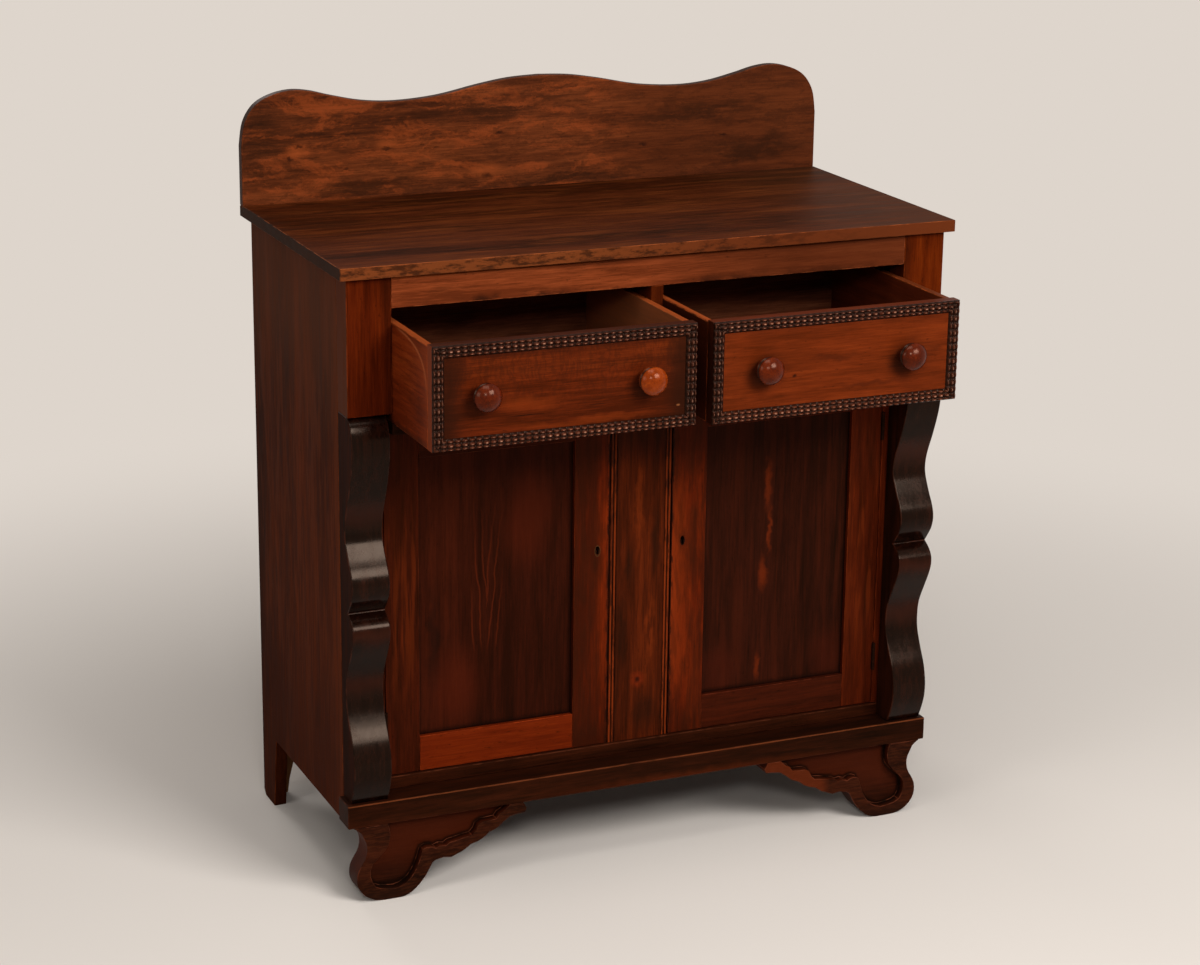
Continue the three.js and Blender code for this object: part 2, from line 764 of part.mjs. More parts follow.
const cupboard = new THREE.Group();
cupboard.add(
  piece("top_board", topBoard(), pine),
  piece("backsplash", backsplash(), pine),
  piece("frieze_rail", frieze(), pine),
  piece("drawer_deck", drawerDeck(), paleWood),
  piece("drawer_partition", partition(), pine),
  piece("centre_mullion", mullion(), pine),
  piece("bottom_board", bottomBoard(), pine),
  piece("middle_shelf", shelf(), paleWood),
  piece("back_board", backBoard(), paleWood),
  piece("base_board", baseBoard(), pine),
);
const ends = [
  ["left", -1, leftOpenLength, leftKnobSpacing],
  ["right", 1, rightOpenLength, rightKnobSpacing],
];
for (const [name, side, open, knobSpacing] of ends) {
  cupboard.add(
    piece(`${name}_side_board`, sideBoard(side), pine),
    piece(`${name}_drawer_post`, drawerPost(side), pine),
    piece(`${name}_drawer_guide`, drawerGuide(side), paleWood),
    piece(`${name}_case_stile`, caseStile(side), pine),
    piece(`${name}_scroll`, scroll(side), mahogany),
    piece(`${name}_front_foot`, frontFoot(side), pine),
    drawer(name, side, open, knobSpacing),
    door(name, side),
  );
}
cupboard.position.y = -originY;

const part = new THREE.Group();
part.add(cupboard);

export default part;
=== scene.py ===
# %% [markdown]
# # A jelly cupboard
# This is an old pine and mahogany cupboard, about 1.1 m wide and 1.28 m high. It has two drawers
# with ripple moulding, two framed doors, a scrolled pilaster at each corner, sawn bracket feet
# and a shaped backsplash. The cupboard's boards, sizes and joints come from a solid model that
# is loaded as a fixed frame. Everything that is made here is set on that frame, in metres.

# %% Load the fixed frame
import json
import math
import random
from functools import reduce

import bmesh
import bpy
from mathutils import Matrix, Vector
from mathutils.geometry import interpolate_bezier
from mathutils.kdtree import KDTree

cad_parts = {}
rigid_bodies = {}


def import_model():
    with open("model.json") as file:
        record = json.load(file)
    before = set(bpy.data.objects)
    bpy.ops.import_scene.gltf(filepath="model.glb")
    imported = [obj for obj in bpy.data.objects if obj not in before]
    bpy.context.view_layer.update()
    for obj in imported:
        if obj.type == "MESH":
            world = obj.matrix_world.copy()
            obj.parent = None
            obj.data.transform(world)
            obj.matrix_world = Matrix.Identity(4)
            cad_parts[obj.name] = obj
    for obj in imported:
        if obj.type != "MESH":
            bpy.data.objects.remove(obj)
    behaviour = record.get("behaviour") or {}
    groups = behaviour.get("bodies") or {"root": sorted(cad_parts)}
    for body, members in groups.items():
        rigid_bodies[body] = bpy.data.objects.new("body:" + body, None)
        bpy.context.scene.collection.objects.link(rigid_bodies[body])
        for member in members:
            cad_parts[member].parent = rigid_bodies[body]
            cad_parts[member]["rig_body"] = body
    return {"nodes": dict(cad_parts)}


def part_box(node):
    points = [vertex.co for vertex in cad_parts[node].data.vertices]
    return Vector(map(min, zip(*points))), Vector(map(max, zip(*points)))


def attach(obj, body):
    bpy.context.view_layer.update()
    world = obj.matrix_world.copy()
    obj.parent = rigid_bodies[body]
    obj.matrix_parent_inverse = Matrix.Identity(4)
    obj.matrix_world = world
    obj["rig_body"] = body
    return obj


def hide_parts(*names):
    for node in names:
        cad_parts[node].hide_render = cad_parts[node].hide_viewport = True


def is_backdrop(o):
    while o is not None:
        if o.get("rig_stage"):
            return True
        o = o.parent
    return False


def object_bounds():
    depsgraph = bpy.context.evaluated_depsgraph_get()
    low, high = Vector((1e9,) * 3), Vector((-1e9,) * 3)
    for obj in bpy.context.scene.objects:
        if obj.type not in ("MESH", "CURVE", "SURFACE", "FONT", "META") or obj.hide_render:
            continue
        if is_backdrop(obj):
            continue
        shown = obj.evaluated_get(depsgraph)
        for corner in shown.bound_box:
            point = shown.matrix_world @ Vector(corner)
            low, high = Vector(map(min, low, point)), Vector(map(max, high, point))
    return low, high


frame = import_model()
solid_box = [list(corner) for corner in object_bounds()]
print("box of the solid model:", solid_box)

# %% [markdown]
# ## The camera
# The camera stands to the left of the cupboard and looks a little down on it. A long lens from
# about 5 m keeps the verticals nearly upright. Its place is written as a point and three angles,
# and its axes are worked out from them, because that is easier to read than a matrix of numbers.

# %% Set up the camera
eye = Vector((-1.90585, -4.28340, 2.06432))
turn, dip, lean = (math.radians(angle) for angle in (23.628, 16.962, 0.7475))

ahead = Vector((math.sin(turn) * math.cos(dip), math.cos(turn) * math.cos(dip), -math.sin(dip)))
level = Vector((math.cos(turn), -math.sin(turn), 0))
upward = level.cross(ahead)
across = level * math.cos(lean) + upward * math.sin(lean)
upright = upward * math.cos(lean) - level * math.sin(lean)

camera = bpy.data.objects.new("camera", bpy.data.cameras.new("camera"))
camera.data.lens = 85.5
camera.data.sensor_width = 36
camera.matrix_world = Matrix((across, upright, -ahead)).transposed().to_4x4()
camera.matrix_world.translation = eye
bpy.context.scene.collection.objects.link(camera)
bpy.context.scene.camera = camera
bpy.context.scene.view_settings.view_transform = "Standard"
print("camera at", tuple(eye))

# %% [markdown]
# ## Small helpers for materials
# A material is a net of nodes. A few helpers keep the recipes short: one adds a node and feeds
# it, some do sums, and one turns a value into a soft step. Colours are written as they look on a
# screen, from 0 to 255, and are changed to the linear values that the renderer counts in.

# %% Add a node, and do a sum with nodes
def put(tree, kind, feeds=None, **settings):
    made = tree.nodes.new("ShaderNode" + kind)
    for name, value in settings.items():
        setattr(made, name, value)
    for socket, value in (feeds or {}).items():
        if isinstance(value, bpy.types.NodeSocket):
            tree.links.new(value, made.inputs[socket])
        else:
            made.inputs[socket].default_value = value
    return made


def sum_of(tree, operation, *values, clamp=False):
    feeds = dict(enumerate(values))
    return put(tree, "Math", feeds, operation=operation, use_clamp=clamp).outputs[0]


def times(tree, *values):
    return reduce(lambda value, other: sum_of(tree, "MULTIPLY", value, other), values)


def larger(tree, *values):
    return reduce(lambda value, other: sum_of(tree, "MAXIMUM", value, other), values)


def size(tree, value):
    return sum_of(tree, "ABSOLUTE", value)


def step(tree, value, low, high):
    feeds = {"Value": value, "From Min": low, "From Max": high}
    return put(tree, "MapRange", feeds, interpolation_type="SMOOTHSTEP").outputs[0]


# %% Write a colour and mix two
def shade(red, green, blue):
    def linear(value):
        share = value / 255
        return share / 12.92 if share <= 0.04045 else ((share + 0.055) / 1.055) ** 2.4

    return (linear(red), linear(green), linear(blue), 1)


def blended(tree, share, below, above, way="MIX"):
    feeds = {0: share, 6: below, 7: above}
    return put(tree, "Mix", feeds, data_type="RGBA", blend_type=way).outputs[2]


def new_material(name):
    material = bpy.data.materials.new(name)
    material.use_nodes = True
    return material, material.node_tree, material.node_tree.nodes["Principled BSDF"]


print("a mid brown in linear values:", shade(110, 50, 22))

# %% [markdown]
# ## Floor, light and background
# The cupboard stands in a plain studio: a pale floor so wide that it fills the picture, one large
# soft lamp high in front on the right, whose reflection makes the broad bands on the scrolls, one
# overhead, a weak one on the left, another behind, and a small one over the camera, for the sparks
# on the knobs and the mouldings. The lamps only reach the floor near the cupboard. Further off,
# the floor fades for the camera into its own pale colour, as a lit backdrop would, and the
# shadow stays where it falls.

# %% Lay the floor
pale = shade(222, 213, 204)
floor_radius, fade_start, fade_end = 60, 0.7, 2.7


def rays_that_see(tree):
    rays = put(tree, "LightPath").outputs
    seen = sum_of(tree, "ADD", rays["Is Camera Ray"], rays["Is Glossy Ray"])
    return sum_of(tree, "ADD", seen, rays["Is Transmission Ray"], clamp=True)


floor_mesh = bpy.data.meshes.new("floor")
shape = bmesh.new()
bmesh.ops.create_circle(shape, cap_ends=True, segments=96, radius=floor_radius)
shape.to_mesh(floor_mesh)
shape.free()
floor = bpy.data.objects.new("floor", floor_mesh)
bpy.context.scene.collection.objects.link(floor)
floor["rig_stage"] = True

# %% Fade the floor into the backdrop
floor_material, tree, matt = new_material("pale_floor")
floor_mesh.materials.append(floor_material)
matt.inputs["Base Color"].default_value = pale
matt.inputs["Roughness"].default_value = 0.9
matt.inputs["Specular IOR Level"].default_value = 0.1
far_off = put(tree, "VectorMath", {0: put(tree, "TexCoord").outputs["Object"]}, operation="LENGTH")
faded = step(tree, far_off.outputs["Value"], fade_start, fade_end)
faded = times(tree, faded, rays_that_see(tree))
glow = put(tree, "Emission", {"Color": pale, "Strength": 1.0})
both = put(tree, "MixShader", {0: faded, 1: matt.outputs[0], 2: glow.outputs[0]})
tree.links.new(both.outputs[0], tree.nodes["Material Output"].inputs["Surface"])
print("floor radius", floor_radius, "m, fading from", fade_start, "to", fade_end, "m")

# %% Hang the lamps
def soft_lamp(name, place, target, width, height, power):
    lamp = bpy.data.lights.new(name, "AREA")
    lamp.shape = "RECTANGLE"
    lamp.size, lamp.size_y, lamp.energy = width, height, power
    made = bpy.data.objects.new(name, lamp)
    made.location = place
    made.rotation_euler = (Vector(target) - Vector(place)).to_track_quat("-Z", "Y").to_euler()
    bpy.context.scene.collection.objects.link(made)
    print(name, "lamp, radiance", round(power / (math.pi * width * height), 1))


soft_lamp("front_right", (1.2, -3.2, 3.0), (0, -0.2, 0.6), 2.0, 1.4, 146)
soft_lamp("overhead", (-0.5, -1.0, 3.4), (0, 0, 0.7), 1.6, 1.1, 27)
soft_lamp("left", (-4.0, -1.6, 2.2), (-0.4, 0, 0.8), 1.6, 1.6, 30)
soft_lamp("behind", (-0.6, 3.6, 3.0), (0, 0.36, 0.7), 1.4, 1.0, 34)
soft_lamp("over_the_camera", (-1.9, -4.6, 3.0), (0, 0, 0.7), 0.9, 0.6, 46)

# %% Light the world
world = bpy.data.worlds.new("studio")
bpy.context.scene.world = world
world.use_nodes = True
sky = world.node_tree
sky_shade = blended(sky, rays_that_see(sky), shade(108, 106, 104), pale)
sky.links.new(sky_shade, sky.nodes["Background"].inputs["Color"])
print("world:", world.name)

# %% [markdown]
# ## Old stained wood
# All the boards share one recipe. Noise that is drawn out along the grain gives broad tone,
# streaks and fine fibres, and a colour ramp turns their sum into three browns. Patches of old
# grime darken it, and the arrises are rubbed lighter. Each board carries two attributes: `board`
# shifts the pattern, so that no two boards match, and `arris` says where its edges are. Some
# boards add marks of their own through a small function.

# %% Draw noise along the grain
def noise(tree, where, scale, detail=3.0, rough=0.5, wander=0.0):
    feeds = {"Vector": where, "Scale": scale, "Detail": detail, "Roughness": rough}
    return put(tree, "TexNoise", {**feeds, "Distortion": wander}).outputs[0]


class Place:
    """The nodes of one material, and a position on the boards that have it."""

    def __init__(self, tree, where):
        self.nodes, self.links, self.where, self.colour = tree.nodes, tree.links, where, None
        self.x, self.y, self.z = put(tree, "SeparateXYZ", {0: where}).outputs


def mark(tree, name, output="Fac"):
    return put(tree, "Attribute", attribute_name=name).outputs[output]


# %% Lay stains and painted light over the wood
def stain_or_painted_light(on, share, strength, *brown):
    on.colour = blended(on, times(on, share, strength), on.colour, shade(*brown))


def drawn_out(on, along, share):
    stretch = [1.0, 1.0, 1.0]
    stretch["xyz".index(along)] = share
    return put(on, "Mapping", {"Vector": on.where, "Scale": stretch}).outputs[0]


def specks(on, along, share, recipe, low, high):
    return step(on, noise(on, drawn_out(on, along, share), *recipe), low, high)


def dashes(on, along, scale, low=0.48, high=0.6):
    return specks(on, along, 0.14, (scale, 5, 0.66, 0.15), low, high)


# %% Mix the wood recipe
varnish = (1.0, 0.55, 0.34, 1)
ramp_start, ramp_middle, ramp_end = 0.41, 0.5, 0.6
bump_height = 0.0006


def wood(name, along, browns, grime=0.5, rubbed=0.5, rough=0.45, gloss=0.08, marks=None,
         polish=varnish, relief=0.3):
    material, tree, shader = new_material(name)
    on = Place(tree, put(tree, "TexCoord").outputs["Object"])
    feeds = {0: on.where, 1: mark(tree, "board", "Vector")}
    shifted = Place(tree, put(tree, "VectorMath", feeds, operation="ADD").outputs[0])
    grain = drawn_out(shifted, along, 1 / 13)
    broad = noise(tree, grain, 8, 4, 0.5, 0.35)
    streaks = noise(tree, grain, 78, 7, 0.68)
    fibres = noise(tree, drawn_out(shifted, along, 1 / 26), 520, 4, 0.65)
    tone = sum_of(tree, "MULTIPLY_ADD", broad, 0.4, times(tree, streaks, 0.36))
    ramp = put(tree, "ValToRGB", {"Fac": sum_of(tree, "MULTIPLY_ADD", fibres, 0.24, tone)})
    steps = ramp.color_ramp.elements
    steps[0].position, steps[0].color = ramp_start, shade(*browns[0])
    steps[1].position, steps[1].color = ramp_end, shade(*browns[2])
    steps.new(ramp_middle).color = shade(*browns[1])
    on.colour = ramp.outputs["Color"]

    lines = specks(shifted, along, 1 / 30, (210, 3, 0.6), 0.58, 0.7)
    stain_or_painted_light(on, lines, 0.55, *browns[0])
    pits = specks(shifted, along, 1 / 5, (330, 3, 0.7), 0.62, 0.7)
    stain_or_painted_light(on, pits, 0.6, *(value * 0.5 for value in browns[0]))
    patches = specks(shifted, along, 1 / 3.5, (13, 6, 0.66, 0.2), 0.53, 0.72)
    stain_or_painted_light(on, patches, grime, *(value * 0.42 for value in browns[0]))
    if marks:
        marks(on)
    worn = step(on, noise(on, shifted.where, 38, 4, 0.6), 0.42, 0.62)
    worn = times(on, mark(on, "arris"), worn)
    stain_or_painted_light(on, worn, rubbed, *(min(255, value * 1.45 + 14) for value in browns[2]))
    tree.links.new(on.colour, shader.inputs["Base Color"])

    dullness = sum_of(tree, "MULTIPLY_ADD", streaks, 0.3, rough - 0.15)
    tree.links.new(dullness, shader.inputs["Roughness"])
    height = sum_of(tree, "MULTIPLY_ADD", fibres, 0.6, times(tree, streaks, 0.5))
    bump = put(tree, "Bump", {"Height": height, "Strength": relief, "Distance": bump_height})
    tree.links.new(bump.outputs["Normal"], shader.inputs["Normal"])
    shader.inputs["Specular IOR Level"].default_value = gloss
    shader.inputs["Specular Tint"].default_value = polish
    return material


# %% [markdown]
# ## Marks of age, and painted light and shade
# A board's own marks are laid over the recipe at the places where the real board has them: knots,
# smears of old stain, a darker end. Some marks are painted light and shade instead: shade under
# and between the drawers, round the knobs and in creases, sheen on the top and the case's side,
# lit bands on the scrolls, and highlights on arrises, reeds and beads. Each says so where it is
# laid.
# Many marks are soft ovals on a board's face, each given by its centre and its reach along the
# face's two axes. The position is shaken by noise first, so that the oval's rim comes out ragged.
# The numbers in these functions are places and reaches in metres, the scales of noise, each
# stain's strength, and its colour on a screen.

# %% Lay ovals and bands on a board
def ragged(on, amount, scale):
    shaken = put(on, "TexNoise", {"Vector": on.where, "Scale": scale, "Detail": 4.0})
    feeds = {0: shaken.outputs["Color"], 1: (0.5, 0.5, 0.5)}
    centred = put(on, "VectorMath", feeds, operation="SUBTRACT").outputs[0]
    feeds = {0: centred, 1: (amount, amount, amount), 2: on.where}
    return Place(on, put(on, "VectorMath", feeds, operation="MULTIPLY_ADD").outputs[0])


def ovals(on, plane, *spots, flat="y"):
    share = 0.0
    for first, second, wide, high in spots:
        centre, reach = [first, second], [wide, high]
        centre.insert("xyz".index(flat), plane)
        reach.insert("xyz".index(flat), 1)
        feeds = {0: on.where, 1: centre}
        offset = put(on, "VectorMath", feeds, operation="SUBTRACT").outputs[0]
        offset = put(on, "VectorMath", {0: offset, 1: reach}, operation="DIVIDE").outputs[0]
        far = put(on, "VectorMath", {0: offset}, operation="LENGTH").outputs["Value"]
        share = larger(on, step(on, far, 1.0, 0.2), share)
    return share


def band(on, value, low, high, soft):
    rise = step(on, value, low - soft, low + soft)
    return times(on, rise, step(on, value, high + soft, high - soft))


# %% [markdown]
# ## The finishes
# The stain differs from board to board, as it does on old furniture: brown on the top, redder on
# the posts, orange on the drawer fronts and the newer left rail, and very dark on the panels.
# The boards with marks of their own come first, each with a function for its marks. The planes
# of the faces that carry them are written down once.

# %% Name the faces
splash_face, top_face, panel_face, door_face = 0.36, 1.087, -0.09, -0.1
left_face, right_face = -0.33, -0.34
drawer_middle, keyhole_x, keyhole_z = 0.2354, 0.079, 0.5515

# %% Mark the backsplash and the top
def splash_marks(on):
    place = ragged(on, 0.06, 18)
    fine = ragged(on, 0.008, 120)
    x = place.x
    glow = specks(fine, "x", 0.3, (30, 7, 0.74, 0.8), 0.47, 0.62)
    glow = times(on, glow, step(on, x, 0.28, 0.05))
    stain_or_painted_light(on, glow, 0.5, 140, 62, 26)
    stain_or_painted_light(on, step(on, x, 0.08, 0.26), 0.55, 64, 27, 11)
    soil = specks(fine, "x", 0.22, (46, 7, 0.76, 0.5), 0.48, 0.62)
    stain_or_painted_light(on, soil, 0.5, 46, 20, 9)
    patina = ovals(
        place, splash_face, (-0.09, 1.232, 0.22, 0.03), (-0.52, 1.2, 0.07, 0.1),
        (-0.33, 1.105, 0.16, 0.022), (0.05, 1.1, 0.22, 0.014),
        (0.3, 1.2, 0.2, 0.03), (0.42, 1.13, 0.16, 0.03),
    )
    patina = times(on, patina, dashes(fine, "x", 95, 0.36, 0.56))
    stain_or_painted_light(on, patina, 0.7, 36, 17, 8)
    streak = ovals(fine, splash_face, (-0.425, 1.203, 0.06, 0.005), (-0.35, 1.2, 0.03, 0.003))
    stain_or_painted_light(on, streak, 0.75, 40, 18, 9)
    halo = ovals(
        fine, splash_face, (-0.287, 1.178, 0.03, 0.013), (-0.101, 1.12, 0.045, 0.02),
        (-0.45, 1.175, 0.03, 0.016),
    )
    stain_or_painted_light(on, halo, 0.4, 150, 70, 30)
    knots = ovals(
        ragged(on, 0.016, 90), splash_face, (-0.446, 1.183, 0.012, 0.004),
        (-0.287, 1.173, 0.014, 0.004),
        (-0.362, 1.138, 0.01, 0.0035), (-0.077, 1.187, 0.015, 0.0035),
        (-0.465, 1.163, 0.008, 0.005), (-0.101, 1.112, 0.013, 0.008),
        (0.2, 1.15, 0.012, 0.004), (0.36, 1.16, 0.012, 0.003),
    )
    stain_or_painted_light(on, knots, 0.75, 32, 13, 7)
    rim = step(on, on.y, 0.3602, 0.3612)
    stain_or_painted_light(on, rim, 0.8, 26, 12, 7)


def top_marks(on):
    place = ragged(on, 0.03, 26)
    x, y = place.x, place.y
    short = dashes(on, "x", 90, 0.52, 0.64)
    near_back = sum_of(on, "MULTIPLY_ADD", step(on, y, 0.0, 0.3), 0.75, 0.25)
    stain_or_painted_light(on, times(on, short, near_back), 0.7, 26, 11, 4)
    stain_or_painted_light(on, dashes(on, "x", 34, 0.5, 0.66), 0.35, 104, 50, 19)
    # Painted reflection: a greyish sheen towards the top's right end.
    stain_or_painted_light(on, step(on, x, 0.2, 0.52), 0.3, 78, 46, 28)
    soil = (-0.5, 0.2, 0.16, 0.2), (-0.36, 0.3, 0.16, 0.05)
    left_soil = ovals(place, top_face, *soil, flat="z")
    left_soil = times(on, left_soil, dashes(on, "x", 40, 0.4, 0.6))
    stain_or_painted_light(on, left_soil, 0.6, 34, 16, 8)
    edge = step(on, on.y, -0.1605, -0.1632)
    stain_or_painted_light(on, edge, 0.92, 112, 56, 26)
    redder = times(on, edge, step(on, x, -0.2, 0.2))
    stain_or_painted_light(on, redder, 0.65, 78, 31, 13)
    smudged = specks(on, "x", 0.28, (80, 7, 0.78), 0.46, 0.58)
    smudged = times(on, smudged, step(on, x, 0.5, 0.0), edge)
    stain_or_painted_light(on, smudged, 0.8, 40, 20, 11)
    ends = step(on, size(on, on.x), 0.5465, 0.548)
    stain_or_painted_light(on, ends, 0.85, 40, 24, 15)


def side_marks(on):
    z = ragged(on, 0.06, 9).z
    stain_or_painted_light(on, dashes(on, "z", 44, 0.46, 0.62), 0.35, 96, 44, 22)
    # Painted sheen near the top of the side, and painted shade towards its bottom.
    stain_or_painted_light(on, step(on, z, 0.72, 1.0), 0.4, 92, 54, 36)
    stain_or_painted_light(on, step(on, z, 0.5, 0.2), 0.45, 44, 16, 7)
    front_edge = step(on, ragged(on, 0.01, 50).y, -0.078, -0.094)
    stain_or_painted_light(on, front_edge, 0.35, 96, 44, 20)


def post_marks(on):
    outer_face = step(on, size(on, on.x), 0.5338, 0.5348)
    stain_or_painted_light(on, outer_face, 0.9, 78, 36, 16)
    beside_frieze = step(on, size(on, ragged(on, 0.01, 30).x), 0.48, 0.46)
    stain_or_painted_light(on, beside_frieze, 0.5, 36, 12, 4)


# %% Mark the frieze, the base board and the feet
def frieze_marks(on):
    place = ragged(on, 0.022, 45)
    low_edge = step(on, place.z, 1.03, 1.014)
    blotches = specks(on, "x", 0.5, (24, 4, 0.6), 0.46, 0.58)
    stain_or_painted_light(on, times(on, low_edge, blotches), 0.85, 40, 17, 8)
    cloudy = specks(on, "x", 0.25, (12, 4, 0.6), 0.5, 0.66)
    stain_or_painted_light(on, cloudy, 0.4, 84, 34, 14)
    stain_or_painted_light(on, step(on, place.x, -0.1, 0.25), 0.75, 66, 27, 11)


def base_marks(on):
    place = ragged(on, 0.02, 40)
    lower = step(on, place.z, 0.152, 0.14)
    lower = times(on, lower, band(on, place.x, -0.1, 0.3, 0.15))
    stain_or_painted_light(on, lower, 0.3, 88, 33, 10)
    front = step(on, on.y, -0.1475, -0.1495)
    # Painted highlight along the top front arris, broken by dashes.
    upper_arris = band(on, on.z, 0.1755, 0.1775, 0.0006)
    upper_arris = times(on, front, upper_arris, dashes(on, "x", 60, 0.36, 0.56))
    stain_or_painted_light(on, upper_arris, 0.7, 112, 56, 28)


def foot_marks(on):
    place = ragged(on, 0.02, 40)
    z = place.z
    rim = step(on, on.y, -0.1478, -0.1492)
    field = times(on, step(on, rim, 1.0, 0.0), step(on, z, 0.02, 0.09))
    stain_or_painted_light(on, field, 0.5, 70, 23, 7)
    scratched = dashes(on, "x", 330, 0.46, 0.6)
    stain_or_painted_light(on, times(on, scratched, rim), 0.35, 74, 34, 16)
    wing = times(on, rim, step(on, place.x, 0.36, 0.33), step(on, place.x, 0.2, 0.24))
    stain_or_painted_light(on, wing, 0.45, 104, 40, 14)
    # The field is painted near-black where it meets the rim.
    stain_or_painted_light(on, step(on, mark(on, "hollow"), 0.1, 0.95), 0.9, 8, 4, 2)
    # Painted shade towards the bottom of the foot, where the rounding turns under.
    stain_or_painted_light(on, step(on, z, 0.03, 0.004), 0.5, 26, 12, 7)


# %% Mark the drawers
def shadows_of_knobs(on, plane, *places):
    soft = ovals(on, plane, *((x, 0.9, 0.034, 0.03) for x in places))
    stain_or_painted_light(on, soft, 0.7, 24, 9, 4)


def left_front_marks(on):
    place = ragged(on, 0.03, 26)
    x, z = place.x, place.z
    feeds = {"Vector": place.where, "Rotation": (0, 0.35, 0), "Scale": (1, 1, 0.22)}
    curl = noise(on, put(on, "Mapping", feeds).outputs[0], 190, 4, 0.6, 0.5)
    curl = step(on, curl, 0.42, 0.6)
    curl = times(on, curl, step(on, z, 0.86, 0.93))
    stain_or_painted_light(on, curl, 0.42, 52, 17, 5)
    stain_or_painted_light(on, band(on, z, 0.935, 0.96, 0.012), 0.3, 50, 18, 6)
    ends = step(on, size(on, sum_of(on, "ADD", x, drawer_middle)), 0.15, 0.198)
    ends = times(on, ends, step(on, on.y, -0.3295, -0.3302))
    dark = larger(on, ends, step(on, z, 0.955, 0.985))
    stain_or_painted_light(on, dark, 0.85, 36, 13, 5)
    shadows_of_knobs(on, left_face, -0.384, -0.105)
    streak = ovals(place, left_face, (-0.2, 0.853, 0.17, 0.01), (-0.3, 0.89, 0.07, 0.02))
    stain_or_painted_light(on, streak, 0.3, 130, 50, 13)
    crack = (-0.305, 0.872, 0.042, 0.0014), (-0.18, 0.878, 0.03, 0.001)
    crack = ovals(on, left_face, *crack)
    stain_or_painted_light(on, crack, 0.9, 18, 7, 3)
    end_grain = step(on, on.x, -0.4583, -0.4588)
    stain_or_painted_light(on, end_grain, 0.85, 118, 48, 18)
    chip = ovals(on, left_face, (-0.043, 0.863, 0.0045, 0.0025))
    stain_or_painted_light(on, chip, 0.5, 160, 96, 56)


def right_front_marks(on):
    place = ragged(on, 0.03, 30)
    # Painted shade round each knob.
    shade_round_knobs = ovals(place, right_face, (0.105, 0.905, 0.05, 0.045), (0.365, 0.905, 0.055, 0.05))
    stain_or_painted_light(on, shade_round_knobs, 0.5, 48, 16, 5)
    shadows_of_knobs(on, right_face, 0.096, 0.356)
    smudge = ovals(
        place, right_face, (0.23, 0.917, 0.06, 0.009), (0.415, 0.915, 0.02, 0.008),
        (0.3, 0.87, 0.09, 0.007),
    )
    stain_or_painted_light(on, smudge, 0.55, 60, 20, 6)
    knot = ovals(ragged(on, 0.004, 160), right_face, (0.159, 0.894, 0.006, 0.004))
    stain_or_painted_light(on, knot, 0.9, 26, 9, 4)
    # Painted shade between the two drawers.
    shade_between_drawers = step(on, on.x, 0.0124, 0.0119)
    stain_or_painted_light(on, shade_between_drawers, 0.9, 14, 6, 3)
    border = step(on, place.z, 0.955, 0.985)
    stain_or_painted_light(on, border, 0.45, 58, 20, 6)


def drawer_side_marks(on):
    place = ragged(on, 0.02, 40)
    # Painted highlight along the top edge of the drawer sides.
    painted_top_highlight = step(on, on.z, 0.9885, 0.9905)
    stain_or_painted_light(on, painted_top_highlight, 0.5, 150, 74, 34)
    deep = sum_of(on, "POWER", size(on, sum_of(on, "MULTIPLY_ADD", on.y, 6.17, 0.9)), 3)
    tall = sum_of(on, "POWER", size(on, sum_of(on, "MULTIPLY_ADD", on.z, 11.36, -10.225)), 3)
    # Painted highlight along a curve near the upper front of the side.
    painted_curve_highlight = band(on, sum_of(on, "ADD", deep, tall), 0.93, 1.05, 0.05)
    upper_front = times(on, step(on, place.z, 0.9, 0.95), step(on, place.y, -0.16, -0.2))
    upper_front = times(on, upper_front, step(on, on.x, -0.457, -0.4585))
    stain_or_painted_light(on, times(on, painted_curve_highlight, upper_front), 0.5, 168, 92, 54)
    outside = times(on, step(on, sum_of(on, "ADD", deep, tall), 1.0, 1.1), upper_front)
    stain_or_painted_light(on, outside, 0.3, 52, 20, 8)
    worn_foot = step(on, place.z, 0.838, 0.829)
    stain_or_painted_light(on, worn_foot, 0.6, 44, 18, 8)
    inner = step(on, size(on, sum_of(on, "ADD", on.x, 0.0238)), 0.0006, 0.0002)
    stain_or_painted_light(on, inner, 0.5, 134, 84, 52)
    front_end = step(on, on.y, -0.27, -0.32)
    stain_or_painted_light(on, front_end, 0.3, 150, 62, 26)
    far_side = band(on, on.x, 0.44, 0.4584, 0.0004)
    stain_or_painted_light(on, far_side, 0.6, 38, 16, 8)
    # Painted shade between the two drawers.
    shade_between_drawers = band(on, on.x, 0.01, 0.0142, 0.0004)
    stain_or_painted_light(on, shade_between_drawers, 0.85, 18, 8, 4)


